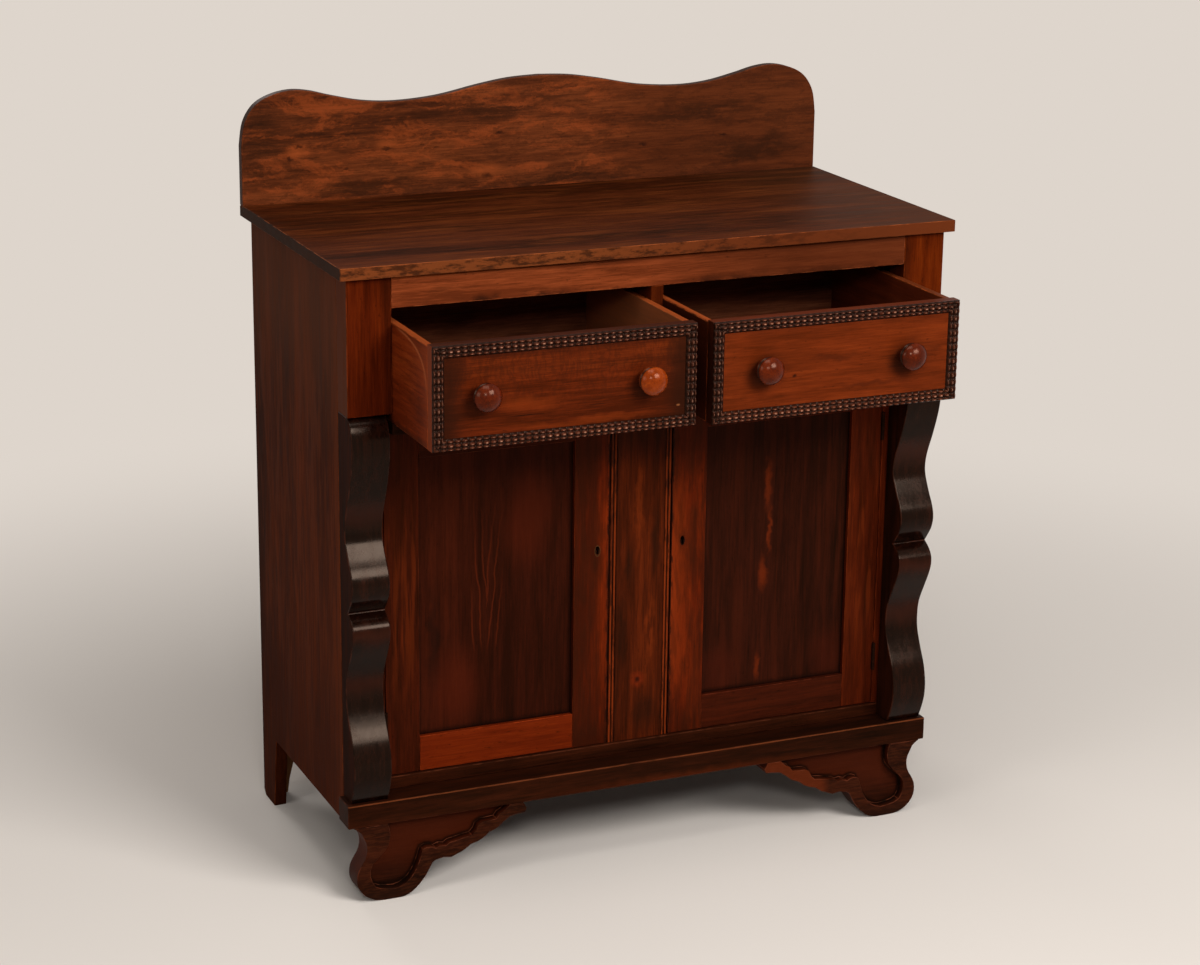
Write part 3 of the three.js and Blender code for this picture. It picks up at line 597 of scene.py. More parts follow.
# %% Mark the doors and the mullion
def lock_stile_marks(on):
    place = ragged(on, 0.03, 16)
    z = place.z
    from_middle = size(on, ragged(on, 0.008, 40).x)
    glow = times(on, step(on, from_middle, 0.1, 0.066), band(on, z, 0.3, 0.66, 0.07))
    glow = times(on, glow, sum_of(on, "MULTIPLY_ADD", step(on, on.x, -0.05, 0.05), 0.7, 0.3))
    stain_or_painted_light(on, glow, 0.5, 132, 46, 11)
    stain_or_painted_light(on, dashes(on, "z", 90, 0.44, 0.6), 0.4, 40, 14, 4)
    dark_side = times(on, step(on, from_middle, 0.07, 0.1), dashes(on, "z", 60, 0.36, 0.58))
    stain_or_painted_light(on, dark_side, 0.5, 44, 16, 5)
    # Darker at both ends: the top end is painted shade under the drawers, and the bottom end is
    # darker towards the bottom rail.
    ends = sum_of(on, "ADD", step(on, z, 0.27, 0.22), step(on, z, 0.66, 0.74), clamp=True)
    stain_or_painted_light(on, ends, 0.5, 34, 12, 4)
    stain_or_painted_light(on, step(on, place.x, -0.07, -0.08), 0.4, 46, 14, 4)
    inner = step(on, size(on, on.x), 0.0645, 0.0595)
    nicks = specks(on, "z", 0.3, (110, 5, 0.7), 0.48, 0.58)
    stain_or_painted_light(on, times(on, inner, nicks), 0.85, 18, 7, 4)
    # Painted shade in the gap beside the mullion.
    shade_in_gap = step(on, size(on, on.x), 0.0597, 0.0589)
    stain_or_painted_light(on, shade_in_gap, 0.92, 10, 4, 2)
    handled = ovals(
        ragged(on, 0.02, 60), door_face, (keyhole_x, 0.55, 0.014, 0.03),
        (-keyhole_x, 0.54, 0.014, 0.04),
    )
    stain_or_painted_light(on, handled, 0.35, 30, 11, 4)
    rim = ovals(on, door_face, (-keyhole_x, keyhole_z, 0.0068, 0.0128))
    stain_or_painted_light(on, step(on, rim, 0.1, 0.3), 0.45, 96, 66, 36)
    # Painted shade: a black oval round each keyhole, larger than its bore, for its dark opening.
    painted_keyhole_shade = ((x, keyhole_z, 0.0056, 0.0113) for x in (-keyhole_x, keyhole_x))
    painted_keyhole_shade = ovals(on, door_face, *painted_keyhole_shade)
    stain_or_painted_light(on, step(on, painted_keyhole_shade, 0.1, 0.35), 0.95, 8, 4, 3)


def hinge_stile_marks(on):
    middle = band(on, ragged(on, 0.03, 14).z, 0.36, 0.62, 0.08)
    streak = specks(on, "z", 0.06, (85, 3, 0.6), 0.48, 0.6)
    stain_or_painted_light(on, times(on, middle, streak), 0.3, 110, 40, 11)


def framed_in_shade(on):
    # Painted shade: a dark line round the panel where it meets the stiles and the bottom rail.
    place = ragged(on, 0.006, 90)
    from_middle = size(on, place.x)
    shade_line = step(on, from_middle, 0.131, 0.1215), step(on, from_middle, 0.391, 0.399)
    shade_line = larger(on, *shade_line, step(on, place.z, 0.274, 0.263))
    stain_or_painted_light(on, shade_line, 0.75, 14, 5, 3)


def left_panel_marks(on):
    place = ragged(ragged(on, 0.03, 7), 0.003, 60)
    z = place.z
    sideways = size(on, sum_of(on, "ADD", place.x, 0.275))
    arm = sum_of(on, "MULTIPLY_ADD", sum_of(on, "POWER", sideways, 0.9), -330, times(on, z, 42))
    rings = step(on, sum_of(on, "SINE", arm), 0.6, 1.0)
    inside_v = times(on, step(on, sideways, 0.034, 0.02), step(on, z, 0.39, 0.43))
    rings = times(on, rings, inside_v, step(on, z, 0.7, 0.5))
    stain_or_painted_light(on, rings, 0.34, 100, 34, 12)
    smear = ovals(ragged(on, 0.03, 40), panel_face, (-0.37, 0.42, 0.016, 0.13))
    stain_or_painted_light(on, smear, 0.6, 18, 7, 4)
    glow = ovals(place, panel_face, (-0.33, 0.34, 0.07, 0.1), (-0.2, 0.62, 0.06, 0.12))
    stain_or_painted_light(on, glow, 0.35, 84, 26, 9)
    framed_in_shade(on)


def right_panel_marks(on):
    place = ragged(on, 0.02, 60)
    flames = ovals(
        place, panel_face, (0.245, 0.63, 0.009, 0.06), (0.239, 0.47, 0.012, 0.04),
        (0.232, 0.3, 0.008, 0.03), (0.25, 0.55, 0.005, 0.06),
    )
    stain_or_painted_light(on, flames, 0.5, 112, 38, 10)
    streak = specks(on, "z", 0.05, (90, 4, 0.6), 0.5, 0.62)
    stain_or_painted_light(on, streak, 0.25, 66, 22, 8)
    corners = (0.16, 0.3, 0.05, 0.07), (0.37, 0.3, 0.05, 0.08)
    corners = ovals(ragged(on, 0.04, 20), panel_face, *corners)
    stain_or_painted_light(on, corners, 0.4, 66, 20, 8)
    framed_in_shade(on)


def mullion_marks(on):
    place = ragged(on, 0.024, 34)
    streak = ovals(place, door_face, (-0.004, 0.62, 0.011, 0.13), (0.022, 0.4, 0.01, 0.1))
    streak = times(on, streak, dashes(on, "z", 150, 0.36, 0.56))
    stain_or_painted_light(on, streak, 0.45, 120, 44, 12)
    dark = ovals(
        place, door_face, (-0.034, 0.4, 0.014, 0.09), (0.012, 0.25, 0.034, 0.05),
        (0.03, 0.56, 0.014, 0.09), (-0.02, 0.52, 0.012, 0.05),
    )
    stain_or_painted_light(on, dark, 0.6, 28, 11, 4)
    halo = ovals(ragged(on, 0.012, 120), door_face, (-0.002, 0.31, 0.018, 0.02))
    stain_or_painted_light(on, halo, 0.5, 120, 36, 10)
    knot = ovals(ragged(on, 0.006, 160), door_face, (-0.002, 0.31, 0.007, 0.009))
    stain_or_painted_light(on, knot, 0.85, 20, 7, 4)
    from_middle = size(on, on.x)
    reeds = step(on, from_middle, 0.0432, 0.0442)
    from_groove = sum_of(on, "PINGPONG", sum_of(on, "SUBTRACT", from_middle, 0.0443), 0.003)
    chips = specks(on, "z", 0.16, (120, 5, 0.7), 0.5, 0.58)
    # Painted highlight on the crests of the reeds, chips of wear, and painted shade in the grooves
    # between the reeds.
    stain_or_painted_light(on, times(on, reeds, step(on, from_groove, 0.0012, 0.002)), 0.7, 124, 46, 13)
    stain_or_painted_light(on, times(on, reeds, chips), 0.7, 24, 9, 5)
    stain_or_painted_light(on, times(on, reeds, step(on, from_groove, 0.0014, 0.0006)), 0.9, 10, 4, 2)
    # Painted shade below the drawers.
    shade_under_drawers = step(on, place.z, 0.68, 0.76)
    stain_or_painted_light(on, shade_under_drawers, 0.6, 22, 9, 5)


def knob_marks(on):
    # Painted shade behind the cap.
    stain_or_painted_light(on, mark(on, "hollow"), 0.85, 12, 5, 3)


def ripple_marks(on):
    crest = mark(on, "arris")
    # Painted shade in the hollows between the beads.
    stain_or_painted_light(on, step(on, crest, 0.8, 0.4), 0.85, 10, 4, 2)
    # Painted glints on the beads' crests.
    uneven = step(on, noise(on, on.where, 45, 3, 0.6), 0.3, 0.55)
    painted_glints = times(on, step(on, crest, 0.86, 0.97), uneven)
    stain_or_painted_light(on, painted_glints, 0.7, 166, 116, 92)
    # Painted shade: the upright strips darker than the level ones.
    from_middle = sum_of(on, "SUBTRACT", size(on, on.x), drawer_middle)
    upright = step(on, size(on, from_middle), 0.2025, 0.2045)
    stain_or_painted_light(on, upright, 0.45, 26, 12, 7)


def scroll_marks(on):
    # Painted light: redder bands at these heights, where the lamp in front lights the scroll's
    # face.
    z = ragged(on, 0.05, 16).z
    places = (0.665, 0.685, 0.03), (0.37, 0.39, 0.03), (0.465, 0.48, 0.02)
    red = larger(on, *(band(on, z, *place) for place in places))
    stain_or_painted_light(on, red, 0.5, 66, 22, 8)


# %% Mark the back
board_joints = (-0.52, -0.318, -0.121, 0.094, 0.307, 0.52)
nail_spacing, nail_heights = 0.052, (1.045, 0.5, 0.19)


def back_marks(on):
    own_tone = times(on, Place(on, mark(on, "board", "Vector")).x, 3.7)
    stain_or_painted_light(on, sum_of(on, "FRACT", own_tone), 0.4, 58, 36, 22)
    for joint in board_joints[1:-1]:
        from_joint = size(on, sum_of(on, "SUBTRACT", on.x, joint))
        stain_or_painted_light(on, step(on, from_joint, 0.004, 0.0012), 0.8, 16, 10, 6)
    from_edge = sum_of(on, "SUBTRACT", on.x, board_joints[0])
    repeated = sum_of(on, "PINGPONG", from_edge, nail_spacing)
    row = Place(on, put(on, "CombineXYZ", {0: repeated, 2: on.z}).outputs[0])
    nails = ovals(row, 0, *((0.03, height, 0.004, 0.004) for height in nail_heights))
    stain_or_painted_light(on, nails, 0.9, 14, 9, 7)


# %% Make the wood finishes
pale_polish, knob_polish = (1.0, 0.72, 0.55, 1), (1.0, 0.6, 0.42, 1)
bead_polish = (1.0, 0.66, 0.5, 1)
recipes = (
    ("worn_top", "x", ((34, 12, 3), (62, 25, 9), (88, 40, 15)), 0.7, 0.9, 0.5, 0.01, top_marks),
    ("splash_board", "x", ((54, 23, 10), (84, 38, 17), (112, 53, 24)),
     0.4, 0.12, 0.5, 0.05, splash_marks),
    ("case_side", "z", ((40, 14, 4), (62, 24, 7), (86, 35, 12)), 0.6, 0.4, 0.6, 0.01, side_marks),
    # The two posts' finishes are lit and shaded copies of one wood: the right one painted lighter,
    # the left one darker.
    ("shaded_left_post", "z", ((52, 13, 2), (73, 21, 4), (94, 31, 6)), 0.3, 0.5, 0.5, 0.01, post_marks),
    ("lit_right_post", "z", ((59, 15, 1), (80, 25, 3), (100, 36, 5)), 0.3, 0.5, 0.5, 0.02, post_marks),
    ("frieze", "x", ((96, 40, 17), (136, 62, 29), (164, 82, 42)),
     0.4, 0.6, 0.5, 0.05, frieze_marks),
    ("dark_base", "x", ((22, 8, 3), (38, 14, 5), (54, 21, 8)), 0.5, 0.5, 0.5, 0.03, base_marks),
    ("foot_wood", "x", ((19, 6, 3), (35, 12, 5), (55, 21, 9)), 0.5, 1.0, 0.5, 0.05, foot_marks),
    ("curly_front", "x", ((58, 17, 3), (88, 29, 7), (118, 44, 11)),
     0.4, 0.3, 0.42, 0.06, left_front_marks),
    ("plain_front", "x", ((74, 25, 5), (98, 35, 9), (118, 46, 13)),
     0.3, 0.3, 0.42, 0.06, right_front_marks),
    ("drawer_side", "y", ((82, 26, 6), (108, 38, 11), (132, 54, 19)),
     0.4, 0.5, 0.5, 0.05, drawer_side_marks),
    ("drawer_inside", "x", ((60, 29, 17), (86, 44, 26), (112, 62, 38)), 0.5, 0.3),
    ("left_hinge_stile", "z", ((32, 8, 1), (49, 13, 3), (68, 20, 5)),
     0.5, 0.5, 0.5, 0.05, hinge_stile_marks),
    ("right_hinge_stile", "z", ((40, 9, 1), (60, 16, 3), (82, 25, 5)),
     0.5, 0.5, 0.5, 0.05, hinge_stile_marks),
    ("left_lock_stile", "z", ((62, 14, 1), (91, 24, 3), (119, 37, 5)),
     0.5, 0.8, 0.5, 0.06, lock_stile_marks),
    ("right_lock_stile", "z", ((55, 12, 1), (82, 21, 3), (107, 32, 5)),
     0.5, 0.8, 0.5, 0.06, lock_stile_marks),
    ("door_rail", "x", ((30, 8, 2), (46, 13, 4), (62, 19, 6)), 0.5, 0.5, 0.5, 0.05),
    ("orange_rail", "x", ((76, 19, 2), (94, 26, 4), (110, 35, 6)), 0.15, 0.6, 0.5, 0.05),
    ("left_door_panel", "z", ((30, 7, 2), (44, 12, 4), (58, 18, 6)),
     0.3, 0.2, 0.5, 0.05, left_panel_marks),
    ("right_door_panel", "z", ((22, 6, 2), (34, 10, 4), (47, 15, 6)),
     0.3, 0.2, 0.5, 0.05, right_panel_marks),
    ("mullion", "z", ((38, 11, 2), (62, 19, 4), (88, 30, 7)), 0.6, 0.2, 0.5, 0.05, mullion_marks),
    ("dark_scroll", "z", ((8, 2, 1), (18, 5, 2), (36, 11, 4)),
     0.3, 0.5, 0.2, 0.13, scroll_marks, pale_polish, 0.08),
    ("scroll_side", "z", ((24, 9, 4), (42, 16, 7), (62, 25, 11)), 0.5, 0.4, 0.6, 0.01),
    ("inside_board", "x", ((84, 52, 30), (112, 72, 44), (136, 92, 58)), 0.5, 0.3),
    ("stained_deck", "x", ((22, 8, 3), (38, 14, 6), (56, 22, 9)), 0.5, 0.3, 0.6, 0.03),
    ("back_board", "z", ((84, 52, 30), (112, 72, 44), (136, 92, 58)),
     0.5, 0.3, 0.6, 0.05, back_marks),
    ("knob_wood", "y", ((46, 9, 1), (70, 17, 2), (94, 29, 4)),
     0.2, 0.3, 0.19, 0.19, knob_marks, knob_polish, 0.01),
    ("orange_knob", "y", ((92, 30, 2), (118, 41, 4), (142, 56, 8)),
     0.2, 0.3, 0.19, 0.19, knob_marks, knob_polish, 0.01),
    ("ripple_wood", "x", ((40, 14, 6), (62, 25, 12), (86, 40, 22)),
     0.3, 0.0, 0.24, 0.09, ripple_marks, bead_polish),
)
finishes = {recipe[0]: wood(*recipe) for recipe in recipes}
print("finishes:", ", ".join(finishes))

# %% [markdown]
# ## Softened boards
# Most pieces are boards with square arrises that hands have softened over the years. The solid
# model already has their shape, so a board is a copy of its solid: the loose triangles are
# merged, the flat ones joined, and every sharp edge is bevelled by about a millimetre. A Bevel
# modifier could do that too, but the operator hands back the new vertices, and these get the
# `arris` mark for the rubbed varnish. A Weighted Normal modifier keeps the flat faces flat.

# %% Turn a shape into a finished piece
chance = random.Random(7)


def marked(shape, ease=0.0, sharp=30):
    arris = shape.verts.layers.float.new("arris")
    board_shift = shape.verts.layers.float_vector.new("board")
    worn = eased(shape, ease, sharp) if ease else []
    shift = Vector(chance.uniform(-3, 3) for _ in range(3))
    for vert in shape.verts:
        vert[board_shift] = shift
    for vert in worn:
        vert[arris] = 1.0


def finished(name, shape, finish, *nodes):
    bmesh.ops.recalc_face_normals(shape, faces=shape.faces)
    for face in shape.faces:
        face.smooth = True
    mesh = bpy.data.meshes.new(name)
    shape.to_mesh(mesh)
    shape.free()
    mesh.materials.append(finish)
    piece = bpy.data.objects.new(name, mesh)
    bpy.context.scene.collection.objects.link(piece)
    even = piece.modifiers.new("even light", "WEIGHTED_NORMAL")
    even.keep_sharp = True
    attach(piece, frame["nodes"][nodes[0]]["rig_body"])
    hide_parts(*nodes)
    print(name, len(mesh.polygons), "faces")
    return piece


# %% Ease the arrises of a shape
def eased(shape, ease, sharp):
    sharp_edges = [
        edge for edge in shape.edges
        if edge.is_manifold and edge.calc_face_angle() > math.radians(sharp)
    ]
    made = bmesh.ops.bevel(
        shape, geom=sharp_edges, offset=ease, offset_type="OFFSET", segments=3,
        profile=0.5, affect="EDGES", material=-1, clamp_overlap=True,
    )
    rounded = set(made["faces"])
    return [vert for vert in made["verts"] if all(face in rounded for face in vert.link_faces)]


def copied(node):
    shape = bmesh.new()
    shape.from_mesh(frame["nodes"][node].data)
    bmesh.ops.remove_doubles(shape, verts=shape.verts, dist=1e-5)
    bmesh.ops.dissolve_limit(
        shape, angle_limit=math.radians(0.5), verts=shape.verts, edges=shape.edges,
        delimit={"NORMAL"},
    )
    return shape


def board(node, finish, ease=0.0011):
    shape = copied(node)
    marked(shape, ease)
    finished(node + "_wood", shape, finishes[finish], node)


# %% Make the case's boards
for node, finish, ease in (
    ("top_board", "worn_top", 0.0022),
    ("left_side_board", "case_side", 0.0014),
    ("right_side_board", "case_side", 0.0014),
    ("left_drawer_post", "shaded_left_post", 0.0012),
    ("right_drawer_post", "lit_right_post", 0.0012),
    ("frieze_rail", "frieze", 0.0012),
    ("drawer_partition", "lit_right_post", 0.0011),
    ("drawer_deck", "stained_deck", 0.001),
    ("left_drawer_guide", "inside_board", 0.001),
    ("right_drawer_guide", "inside_board", 0.001),
    ("left_case_stile", "left_hinge_stile", 0.001),
    ("right_case_stile", "right_hinge_stile", 0.001),
    ("centre_mullion", "mullion", 0.0008),
    ("bottom_board", "dark_base", 0.002),
    ("middle_shelf", "inside_board", 0.0012),
    ("base_board", "dark_base", 0.0018),
):
    board(node, finish, ease)

# %% [markdown]
# ## The front feet
# A foot is a sawn bracket with a raised rim round a deeper field. The field is painted black where
# it meets the rim. The field is one large face, so it is first cut into small squares by planes.
# Each of their corners then gets the mark `hollow`, which is strongest beside the rim and dies out
# 8 mm from it, however the rim curves.

# %% Cut a face into squares
def cut_into_squares(shape, chosen, low, high, length):
    across, upwards = (Vector((1, 0, 0)), high.x - low.x), (Vector((0, 0, 1)), high.z - low.z)
    for normal, reach in (across, upwards):
        for count in range(1, int(reach / length) + 1):
            faces = [face for face in shape.faces if chosen(face)]
            around = {part for face in faces for part in (*face.verts, *face.edges)}
            bmesh.ops.bisect_plane(
                shape, geom=[*faces, *around], dist=1e-6, plane_no=normal,
                plane_co=low + normal * count * length,
            )


# %% Make the feet
field_recess, square, dark_reach = 0.016, 0.004, 0.008
level_slack, eased_slack = 0.0003, 0.0013
for side in ("left", "right"):
    node = side + "_front_foot"
    low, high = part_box(node)
    field_plane = low.y + field_recess

    def in_field(face):
        off_plane = abs(face.calc_center_median().y - field_plane)
        return abs(face.normal.y) > 0.9 and off_plane < level_slack

    shape = copied(node)
    marked(shape, 0.0012)
    cut_into_squares(shape, in_field, low, high, square)
    hollow = shape.verts.layers.float.new("hollow")
    field = {vert for face in shape.faces if in_field(face) for vert in face.verts}
    beside_rim = [
        vert.co.copy() for vert in field
        if vert.co.z < high.z - square and not all(in_field(face) for face in vert.link_faces)
    ]
    nearest = KDTree(len(beside_rim))
    for index, point in enumerate(beside_rim):
        nearest.insert(point, index)
    nearest.balance()
    for vert in shape.verts:
        if vert in field:
            vert[hollow] = max(0, 1 - nearest.find(vert.co)[2] / dark_reach)
        else:
            vert[hollow] = float(abs(vert.co.y - field_plane) < eased_slack)
    finished(node + "_wood", shape, finishes["foot_wood"], node)
    print("corners of squares in its field:", len(field))

# %% [markdown]
# ## Sawn outlines
# The backsplash and the scrolls are sawn to a curve. The curve runs smoothly through a few
# points, written as shares of the piece's height and depth. A Bezier segment between each pair
# of points, with its handles set from the neighbours, gives the same line as the solid has but
# with more points. The outline becomes a face, the face is extruded to the board's thickness,
# and its arrises are eased.

# %% Draw a smooth line through points
def smooth_line(knots, cuts):
    knots = [Vector(knot) for knot in knots]
    line = [knots[0]]
    padded = [knots[0], *knots, knots[-1]]
    for before, start, end, after in zip(padded, padded[1:], padded[2:], padded[3:]):
        handle = start + (end - before) / 6
        other_handle = end - (after - start) / 6
        line += interpolate_bezier(start, handle, other_handle, end, cuts + 1)[1:]
    return line


def sawn(outline, thickness):
    shape = bmesh.new()
    face = shape.faces.new([shape.verts.new(point) for point in outline])
    made = bmesh.ops.extrude_face_region(shape, geom=[face])["geom"]
    moved = [item for item in made if isinstance(item, bmesh.types.BMVert)]
    bmesh.ops.translate(shape, verts=moved, vec=thickness)
    bmesh.ops.recalc_face_normals(shape, faces=shape.faces)
    return shape


# %% Saw the backsplash
low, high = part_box("backsplash")
top_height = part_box("top_board")[1].z
splash_shares = (
    (0, 1), (0.105, 0.985), (0.21, 0.94), (0.35, 0.865), (0.49, 0.837), (0.6, 0.857),
    (0.7, 0.915), (0.775, 0.968), (0.84, 0.983), (0.905, 0.945), (0.955, 0.865), (0.988, 0.72),
    (1, 0.52),
)
splash_rise = high.z - top_height
right_half = smooth_line(
    [(share * high.x, low.y, top_height + rise * splash_rise) for share, rise in splash_shares], 5
)
right_half.append(Vector((high.x, low.y, low.z)))
left_half = [Vector((-point.x, point.y, point.z)) for point in reversed(right_half[1:])]
shape = sawn(left_half + right_half, Vector((0, high.y - low.y, 0)))
marked(shape, 0.0022, sharp=40)
finished("backsplash_wood", shape, finishes["splash_board"], "backsplash")

# %% Saw the scrolls
upper_shares = (
    (1, 0.62), (0.985, 0.84), (0.955, 0.96), (0.915, 1), (0.865, 0.92), (0.8, 0.7),
    (0.745, 0.47), (0.71, 0.38), (0.68, 0.4), (0.64, 0.6), (0.605, 0.82), (0.575, 0.905),
    (0.545, 0.84), (0.52, 0.68), (0.5, 0.53),
)
lower_shares = (
    (0.5, 0.53), (0.485, 0.76), (0.465, 0.9), (0.44, 0.905), (0.41, 0.8), (0.37, 0.6),
    (0.325, 0.39), (0.285, 0.33), (0.245, 0.37), (0.2, 0.56), (0.155, 0.79), (0.11, 0.9),
    (0.07, 0.885), (0.035, 0.78), (0, 0.62),
)
scroll_reach, stand_off = 0.068, 0.0003
for side in ("left", "right"):
    low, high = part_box(side + "_scroll")
    rise = high.z - low.z
    door_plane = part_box("base_board")[1].y + stand_off
    upper, lower = (
        smooth_line(
            [(low.x, door_plane - out * scroll_reach, low.z + up * rise) for up, out in shares], 4
        )
        for shares in (upper_shares, lower_shares)
    )
    back_top, back_foot = (Vector((low.x, high.y, end)) for end in (high.z, low.z))
    outline = [back_top, *upper, *lower[1:], back_foot]
    shape = sawn(outline, Vector((high.x - low.x, 0, 0)))
    marked(shape, 0.0022, sharp=40)
    scroll = finished(side + "_scroll_wood", shape, finishes["dark_scroll"], side + "_scroll")
    scroll.data.materials.append(finishes["scroll_side"])
    for face in scroll.data.polygons:
        face.material_index = int(abs(face.normal.x) > 0.9)

# %% [markdown]
# ## The back
# The solid model has the back as one sheet. A cupboard like this has several boards side by
# side, so the copy is cut by upright planes, and each board is closed and eased on its own,
# which leaves a fine groove at every joint.

# %% Cut the back into boards
def cut_off(shape, place, normal, close, slack):
    cut = bmesh.ops.bisect_plane(
        shape, geom=shape.verts[:] + shape.edges[:] + shape.faces[:], dist=slack,
        plane_co=place, plane_no=normal, clear_outer=True,
    )
    rims = [item for item in cut["geom_cut"] if isinstance(item, bmesh.types.BMEdge)]
    close(shape, edges=rims)


def add_to(whole, shape):
    mesh = bpy.data.meshes.new("part")
    shape.to_mesh(mesh)
    shape.free()
    whole.from_mesh(mesh)
    bpy.data.meshes.remove(mesh)


half_groove = 0.0004
back = bmesh.new()
for start, end in zip(board_joints, board_joints[1:]):
    shape = copied("back_board")
    for place, way in ((start + half_groove, -1), (end - half_groove, 1)):
        cut_off(shape, (place, 0, 0), (way, 0, 0), bmesh.ops.edgeloop_fill, 1e-6)
    marked(shape, 0.0015)
    add_to(back, shape)
finished("back_boards_wood", back, finishes["back_board"], "back_board")

# %% [markdown]
# ## The drawers
# Each drawer is a box of thin boards behind a thick front, and the boards are eased copies of
# their solids. The insides are plainer and browner than the fronts.

# %% Make the drawers' boards
for side, front_wood in (("left", "curly_front"), ("right", "plain_front")):
    for part, finish, ease in (
        ("front", front_wood, 0.001),
        ("left_side", "drawer_side", 0.0012),
        ("right_side", "drawer_side", 0.0012),
        ("back", "drawer_inside", 0.001),
        ("bottom", "drawer_inside", 0.0006),
    ):
        board(f"{side}_drawer_{part}", finish, ease)

# %% [markdown]
# ## Ripple moulding
# Round each front runs a dark moulding with three reeds, waved along its length by a machine, so
# that it looks like rows of beads. One strip starts as a grid. Its vertices are lifted by the
# reeds' section times the wave, the sheet is extruded down to a flat back, and both ends are cut
# at 45 degrees for the mitres. Four strips make the frame.

# %% Wave a strip of moulding
strip_width, strip_height, pitch = 0.020, 0.007, 0.0118
trough, roundness, sunk, steps_per_bead = 0.22, 0.7, 0.0005, 8
reed_section = (
    0.0, 0.5, 0.76, 0.54, 0.12, 0.74, 1.0, 0.98, 0.7, 0.12, 0.52, 0.72, 0.54, 0.14, 0.0,
)
last_row, valleys = len(reed_section) - 1, (4, 9)
reed_tops = [max(reed_section[start:end]) for start, end in zip((0, *valleys), (*valleys, None))]


def waved_strip(length):
    beads = round(length / pitch)
    shape = bmesh.new()
    bmesh.ops.create_grid(
        shape, x_segments=beads * steps_per_bead, y_segments=last_row, size=0.5
    )
    for vert in shape.verts:
        along, out = vert.co.x + 0.5, vert.co.y + 0.5
        wave = abs(math.sin(math.pi * along * beads)) ** roundness
        lift = reed_section[round(out * last_row)] * strip_height
        lift *= trough + (1 - trough) * wave
        vert.co = Vector((along * length, out * strip_width, lift))
    made = bmesh.ops.extrude_face_region(shape, geom=shape.faces[:])["geom"]
    lowered = [item for item in made if isinstance(item, bmesh.types.BMFace)]
    for vert in {vert for face in lowered for vert in face.verts}:
        vert.co.z = -sunk
    bmesh.ops.dissolve_faces(shape, faces=lowered)
    return shape


# %% Mitre four strips round each drawer
# The crest height goes into the `arris` mark, from which the moulding's painted glints and the
# painted shade between its beads are drawn.
def crests_marked(shape):
    crest = shape.verts.layers.float["arris"]
    for vert in shape.verts:
        row = min(last_row, max(0, round(vert.co.y / strip_width * last_row)))
        reed = sum(row >= valley for valley in valleys)
        vert[crest] = max(0, vert.co.z / strip_height / reed_tops[reed])


for side in ("left", "right"):
    node = side + "_drawer_ripple_frame"
    low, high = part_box(node)
    width, height = high.x - low.x, high.z - low.z
    ripple = bmesh.new()
    for length, corner, run, rise in (
        (width, (low.x, low.z), (1, 0), (0, 1)),
        (height, (high.x, low.z), (0, 1), (-1, 0)),
        (width, (high.x, high.z), (-1, 0), (0, -1)),
        (height, (low.x, high.z), (0, -1), (1, 0)),
    ):
        shape = waved_strip(length)
        for place, way in ((0, -1), (length, 1)):
            cut_off(shape, (place, 0, 0), (way, 1, 0), bmesh.ops.holes_fill, 1e-7)
        marked(shape)
        crests_marked(shape)
        along, inward = Vector((run[0], 0, run[1])), Vector((rise[0], 0, rise[1]))
        turned = Matrix((along, inward, Vector((0, -1, 0)))).transposed().to_4x4()
        turned.translation = Vector((corner[0], high.y, corner[1]))
        bmesh.ops.transform(shape, matrix=turned, verts=shape.verts)
        add_to(ripple, shape)
    piece = finished(side + "_ripple_moulding", ripple, finishes["ripple_wood"], node)
    piece.modifiers.remove(piece.modifiers["even light"])

# %% [markdown]
# ## The knobs
# The knobs are turned like mushrooms, with a collar behind the cap. A lathe does that with a
# profile and a spin, and here the spin operator is the lathe. A Subdivision Surface modifier
# then rounds the cap between the profile's points. What lies behind the cap, but for the
# collar's crest, is marked `hollow` and darkened as painted shade behind the cap.

# %% Turn the knobs
knob_profile = (
    (0.0, 1.0), (0.12, 0.996), (0.32, 0.972), (0.53, 0.92), (0.72, 0.845), (0.87, 0.755),
    (0.965, 0.68), (0.995, 0.63), (0.965, 0.58), (0.88, 0.545), (0.79, 0.5), (0.76, 0.45),
    (0.82, 0.4), (0.9, 0.36), (0.925, 0.31), (0.88, 0.26), (0.74, 0.22), (0.58, 0.17),
    (0.48, 0.09), (0.47, 0.0), (0.47, -0.01),
)
knob_radius, knob_reach = 0.0236, 0.037
behind_cap, collar_crest, collar_half = 0.59, 0.31, 0.03


def turned_knob(name, node, finish):
    low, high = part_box(node)
    centre = (low + high) / 2
    shape = bmesh.new()
    points = [(out * knob_radius, -along * knob_reach, 0) for out, along in knob_profile]
    verts = [shape.verts.new(point) for point in points]
    edges = [shape.edges.new(pair) for pair in zip(verts, verts[1:])]
    bmesh.ops.spin(
        shape, geom=verts + edges, cent=(0, 0, 0), axis=(0, 1, 0), angle=math.tau, steps=24,
        use_merge=True,
    )
    bmesh.ops.remove_doubles(shape, verts=shape.verts, dist=1e-6)
    rim = [edge for edge in shape.edges if edge.is_boundary]
    bmesh.ops.edgeloop_fill(shape, edges=rim)
    hollow = shape.verts.layers.float.new("hollow")
    for vert in shape.verts:
        along = -vert.co.y / knob_reach
        vert[hollow] = float(along < behind_cap and abs(along - collar_crest) > collar_half)
    face_plane = low.y + knob_reach
    bmesh.ops.translate(shape, verts=shape.verts, vec=(centre.x, face_plane, centre.z))
    marked(shape)
    piece = finished(name, shape, finishes[finish], node)
    piece.modifiers.remove(piece.modifiers["even light"])
    rounder = piece.modifiers.new("rounder", "SUBSURF")
    rounder.levels = rounder.render_levels = 2


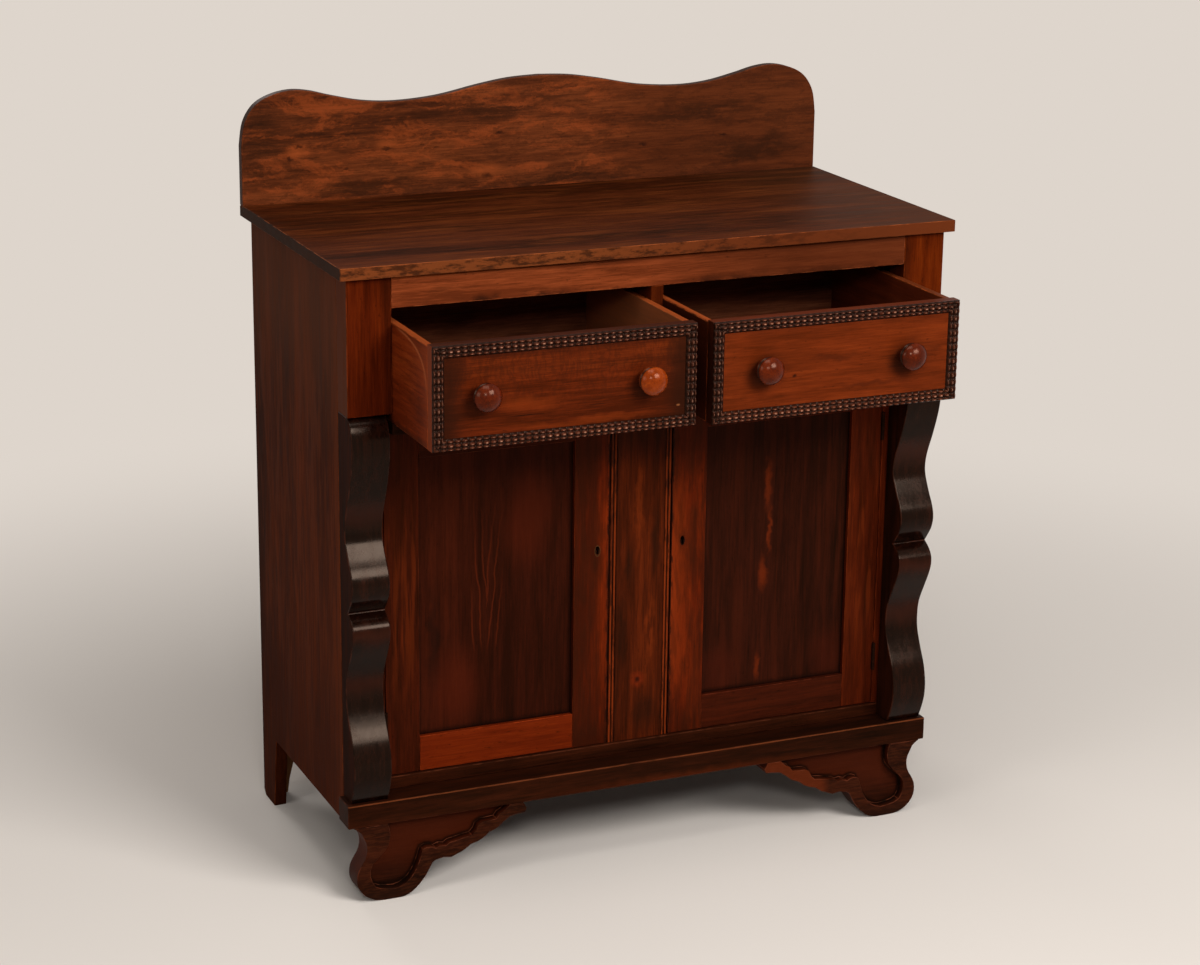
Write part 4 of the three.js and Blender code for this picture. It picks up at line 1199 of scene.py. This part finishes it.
for side in ("left", "right"):
    for place in ("left", "right"):
        finish = "orange_knob" if (side, place) == ("left", "right") else "knob_wood"
        stem = f"{side}_drawer_{place}_"
        turned_knob(stem + "turned_knob", stem + "knob", finish)

# %% [markdown]
# ## The doors
# Two stiles, two rails and a thin panel each. The left door's lower rail is newer and oranger
# than the rest. All are eased copies of their solids.

# %% Make the doors' boards
for side in ("left", "right"):
    for part, finish, ease in (
        ("hinge_stile", side + "_hinge_stile", 0.0012),
        ("lock_stile", side + "_lock_stile", 0.0012),
        ("top_rail", "door_rail", 0.0012),
        ("bottom_rail", "orange_rail" if side == "left" else "door_rail", 0.0012),
        ("panel", side + "_door_panel", 0.0005),
    ):
        board(f"{side}_door_{part}", finish, ease)

# %% [markdown]
# ## Iron and brass
# The hinges and the lock cases are dark iron, and the bolts dull brass. Their solids are right
# as they are, so they keep their shape and only get a metal finish: mottled colour, rust in
# patches and an uneven gloss.

# %% Mix the metals
def metal(name, dull, bright, rust, rough, shine):
    material, tree, shader = new_material(name)
    on = Place(tree, put(tree, "TexCoord").outputs["Object"])
    cloudy = noise(on, on.where, 240, 5, 0.6)
    on.colour = blended(on, cloudy, shade(*dull), shade(*bright))
    stain_or_painted_light(on, step(on, noise(on, on.where, 95, 5, 0.7), 0.5, 0.66), 1.0, *rust)
    tree.links.new(on.colour, shader.inputs["Base Color"])
    uneven = sum_of(tree, "MULTIPLY_ADD", cloudy, 0.3, rough)
    tree.links.new(uneven, shader.inputs["Roughness"])
    bump = put(tree, "Bump", {"Height": cloudy, "Strength": 0.4, "Distance": 0.0002})
    tree.links.new(bump.outputs["Normal"], shader.inputs["Normal"])
    shader.inputs["Metallic"].default_value = shine
    shader.inputs["Specular IOR Level"].default_value = 0.5 * shine
    return material


hinge_iron = metal("grimy_iron", (18, 9, 5), (34, 18, 11), (44, 18, 9), 0.6, 0.0)
lock_iron = metal("aged_iron", (60, 54, 50), (104, 98, 92), (84, 52, 34), 0.4, 0.85)
brass = metal("dull_brass", (120, 92, 50), (176, 142, 84), (82, 60, 34), 0.3, 0.85)
for ending, finish in (("hinge_leaf", hinge_iron), ("lock_case", lock_iron), ("lock_bolt", brass)):
    for node, piece in frame["nodes"].items():
        if node.endswith(ending):
            piece.data.materials.clear()
            piece.data.materials.append(finish)
            print(node, "gets", finish.name)

# %% [markdown]
# ## The finished cupboard
# The last step prints the box of the solid model and the box of what is shown, so that the two
# can be compared.

# %% Print the two boxes
shown_box = [list(corner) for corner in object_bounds()]
for name, box in (("solid", solid_box), ("shown", shown_box)):
    print(name, [[round(value, 4) for value in corner] for corner in box])
